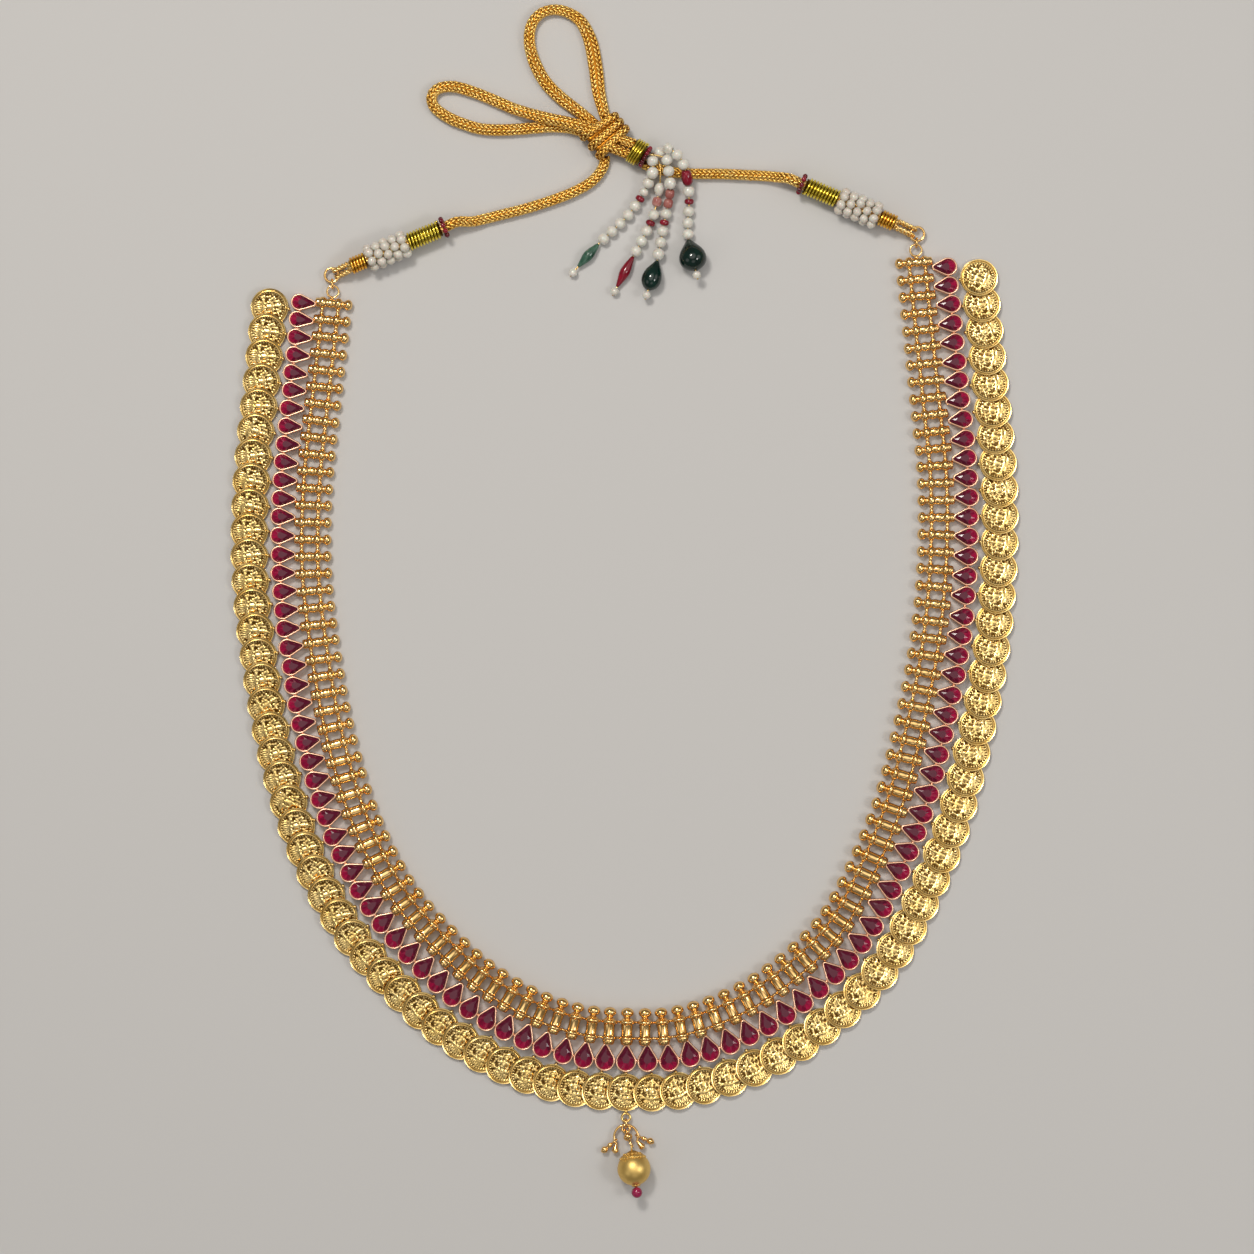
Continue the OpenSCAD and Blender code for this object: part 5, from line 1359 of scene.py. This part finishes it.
def tail(name, route):
    soup = Soup()
    knitted(soup, smooth(route, 6), shade=TAIL_SHADE)
    return soup.piece(name, cord_gold, "cord")


def tail_route(side):
    """The short cord from the knot's side into the cap."""
    across = np.array([-CAP_AXIS[1], CAP_AXIS[0]])
    square = direction(KNOT_TURN - 90)
    at_cap = side * TAIL_APART / 2
    at_knot = at_cap - TAIL_SHIFT
    start = (KNOT_HALF - at_knot * (across @ square)) / (CAP_AXIS @ square) - TAIL_SINK
    first = np.array(KNOT_AT) + start * CAP_AXIS + at_knot * across
    last = CAP_AT - (CAP_L / 2 - TAIL_SINK) * CAP_AXIS + at_cap * across
    return [(*(first + q * (last - first)), CAP_D / 2 + TAIL_RISE, 1) for q in (0, 0.5, 1)]


# The tassel
CAP_SEEDS, CAP_SEEDS_R, CAP_SEED_D = 12, 2.45, 1.25
CAP_DISC = [(0.1, 0), (0.1, 2.3), (0.9, 2.2), (1.1, 1.2), (1.1, 0)]


def on_cap(points, start):
    return stand(points, (*(CAP_AT + start * CAP_AXIS), CAP_D / 2), (*CAP_AXIS, 0))


def tassel_cap():
    cap, red = Soup(), Soup()
    wound(cap, 0, 0, CAP_L, CAP_D, CAP_TURNS, CAP_WIRE, place=lambda p: on_cap(p, -CAP_L / 2))
    cap.piece("tassel_cap", coil_gold, "gold_wire")
    start = CAP_L / 2 + 0.1
    for at in on_cap(circle(CAP_SEEDS, CAP_SEEDS_R, 0.6, 0.2), start):
        seed(red, at, CAP_SEED_D, (*CAP_AXIS, 0), 12, 8)
    red.lay(lathe(CAP_DISC, 24), lambda points: on_cap(points, start), facet=0.2)
    red.piece("tassel_band", red_glass, "red_glass")


# Outlines of the beads: place along the bead and radius, both as shares
OUTLINES = {
    "egg": [(0, 0.3), (0.06, 0.55), (0.18, 0.82), (0.34, 0.97), (0.48, 1), (0.64, 0.93), (0.8, 0.72), (0.92, 0.48),
            (1, 0.28)],
    "drum": [(0, 0.45), (0.03, 0.66), (0.12, 0.84), (0.28, 0.97), (0.5, 1), (0.72, 0.97), (0.88, 0.84), (0.97, 0.66),
             (1, 0.45)],
    "spindle": [(0, 0.25), (0.05, 0.4), (0.16, 0.58), (0.3, 0.82), (0.44, 0.98), (0.52, 1), (0.62, 0.92),
                (0.76, 0.68), (0.88, 0.48), (0.96, 0.34), (1, 0.25)],
    "drop": [(0, 0.12), (0.02, 0.2), (0.08, 0.32), (0.16, 0.46), (0.26, 0.66), (0.36, 0.83), (0.47, 0.95),
             (0.58, 1), (0.68, 0.99), (0.78, 0.91), (0.87, 0.75), (0.94, 0.53), (0.985, 0.28), (1, 0.15)],
    "ball": [((math.sin(q) + 1) / 2, math.cos(q)) for q in np.linspace(-1.32, 1.32, 13)]}
BORE_R = THREAD_D / 2 + 0.12
BORE_SHOWN = 0.3
THREAD_END = 0.15


def bead_shape(kind):
    length, d, outline = BEADS[kind]
    outer = [((z - 0.5) * length, max(r * d / 2, BORE_R + 0.02)) for z, r in OUTLINES[outline]]
    return [(outer[0][0] + BORE_SHOWN, BORE_R)] + outer + [(outer[-1][0] - BORE_SHOWN, BORE_R)]


def tassel(i):
    line = smooth(from_cap(STRANDS[i]), 4)
    pearls, glass_beads, drops, rose = (Soup() for _ in range(4))
    s = STRAND_BEADS[i][0][1]
    for k, (kind, before) in enumerate(STRAND_BEADS[i]):
        s += before if k else 0
        length = BEADS[kind][0]
        middle = along(line, s + length / 2)
        axis = along(line, s + length / 2 + 0.5) - along(line, s + length / 2 - 0.5)
        is_drop = BEADS[kind][2] in ("spindle", "drop")
        soup = drops if is_drop else {"red": glass_beads, "long": glass_beads, "rose": rose}.get(kind, pearls)
        shape = lathe(bead_shape(kind), 36 if is_drop else 24, rng.uniform(0, 1))
        soup.lay(shape, lambda points: stand(points, middle, axis), facet=rng.uniform(0.35, 0.9), wear=0.5)
        s += length + BEAD_GAP
    end = s - BEAD_GAP + THREAD_END
    name = str(i + 1)
    pearls.piece("tassel_pearls_" + name, pearl_white, "pearl", ["tassel_beads_" + name])
    glass_beads.piece("tassel_glass_" + name, red_glass, "red_glass", ())
    if rose.count:
        rose.piece("tassel_rose_" + name, rose_glass, "red_glass", ())
    drop_look = (pale_green, red_glass, green_glass, green_glass)[i]
    drops.piece("tassel_drop_" + name, drop_look, "red_glass" if drop_look is red_glass else "green_glass")
    string = Soup()
    strand_line = along(line, np.linspace(0, end, 60))
    string.lay(tube(strand_line, THREAD_D / 2, 8), wear=0.7, local=tube_local(strand_line, 8, 1))
    string.piece("tassel_thread_" + name, loop_gold, "gold_thread")


# The camera looks straight down, as in the photograph.
CAMERA_UP = 1200.0
CAMERA_AT_Z = 3.0
SENSOR = 36


def camera():
    made = bpy.data.cameras.new("camera")
    width = PHOTO_PX * PX_MM
    made.sensor_fit = "HORIZONTAL"
    made.sensor_width = SENSOR
    made.lens = SENSOR * (CAMERA_UP - CAMERA_AT_Z) / width
    made.clip_end = 20
    eye = bpy.data.objects.new("camera", made)
    eye.location = ((PHOTO_PX / 2 - ORIGIN_PX[0]) * PX_MM / 1000, (ORIGIN_PX[1] - PHOTO_PX / 2) * PX_MM / 1000,
                    CAMERA_UP / 1000)
    bpy.context.scene.collection.objects.link(eye)
    bpy.context.scene.camera = eye


# Each window of the sky: where it is, its full and its fading angle, and its strength
SKY = [((-0.06, 0.24, 0.97), 12, 34, 1.25), ((0.75, 0.1, 0.62), 6, 22, 1.0), ((-0.7, -0.35, 0.6), 5, 20, 0.8),
       ((0.1, -0.62, 0.78), 5, 18, 0.7)]
SKY_BASE = 0.16
SKY_TINT = (1, 0.97, 0.93)
# Each lamp: name, place in metres, size in metres, watts and tint
LAMPS = [("key", (-0.25, 0.6, 0.9), (0.22, 0.16), 4.6, (1, 0.96, 0.9)),
         ("fill", (0.55, 0.0, 0.7), (0.2, 0.2), 1.2, (1, 0.98, 0.95))]
LAMP_AIM = (0, 0.11, 0)
FLOOR_GREY = (0.56, 0.55, 0.54)
FLOOR_HALF = 2.5


def area_light(name, at, size, power, tint):
    lamp = bpy.data.lights.new(name, "AREA")
    lamp.shape = "RECTANGLE"
    lamp.size, lamp.size_y = size
    lamp.energy = power
    lamp.color = tint
    made = bpy.data.objects.new(name, lamp)
    made.location = at
    way_down = np.array(LAMP_AIM) - np.array(at)
    made.rotation_euler = Vector(way_down).to_track_quat("-Z", "Y").to_euler()
    bpy.context.scene.collection.objects.link(made)


def sky():
    """A dark room with soft bright windows, so that polished metal shows light and dark."""
    world = bpy.data.worlds.new("studio")
    bpy.context.scene.world = world
    world.use_nodes = True
    tree = world.node_tree
    way_up = add_node(tree, "ShaderNodeTexCoord").outputs["Generated"]
    total = None
    for toward, inner, outer, power in SKY:
        dot = add_node(tree, "ShaderNodeVectorMath", {0: way_up, 1: tuple(unit(np.array(toward, float)))},
                       operation="DOT_PRODUCT").outputs["Value"]
        glow = add_node(tree, "ShaderNodeMapRange", {"Value": dot, "From Min": math.cos(math.radians(outer)),
                                                     "From Max": math.cos(math.radians(inner)),
                                                     "To Max": power}, interpolation_type="SMOOTHSTEP")
        total = glow.outputs["Result"] if total is None else maths(tree, "ADD", total, glow.outputs["Result"])
    back = tree.nodes["Background"]
    back.inputs["Color"].default_value = colour(SKY_TINT)
    tree.links.new(maths(tree, "ADD", total, SKY_BASE), back.inputs["Strength"])


def studio():
    sky()
    bpy.context.scene.view_settings.view_transform = "Standard"
    for lamp in LAMPS:
        area_light(*lamp)
    made, tree, shader = material("floor", Base_Color=FLOOR_GREY, Roughness=0.8)
    tree.links.new(bump(tree, noise(tree, 900, 2), 0.05, 0.0001), shader.inputs["Normal"])
    size, z = FLOOR_HALF, cad_box[0][2]
    mesh = bpy.data.meshes.new("floor")
    mesh.from_pydata([(-size, -size, z), (size, -size, z), (size, size, z), (-size, size, z)], [], [(0, 1, 2, 3)])
    mesh.materials.append(made)
    floor = bpy.data.objects.new("floor", mesh)
    bpy.context.scene.collection.objects.link(floor)


camera()
studio()
for k in (0, 1):
    bead_band(k)
    stones_and_settings(k)
    coins(k)
    chain_rings(k)
    thread_loops(k)
core_ends = [wrapped_end(k) for k in (0, 1)]
knot()
tails = [tail("cord_tail_upper", tail_route(1)), tail("cord_tail_lower", tail_route(-1))]
cord_piece("cord_left", core_exit(0, core_ends[0]) + CORD_LEFT)
cord_piece("cord_right", core_exit(1, core_ends[1]) + CORD_RIGHT + from_cap(CORD_RIGHT_END))
cord_piece("bow_loop_left", BOW_LEFT)
cord_piece("bow_loop_top", BOW_TOP)
tassel_cap()
for i in range(4):
    tassel(i)
pendant()
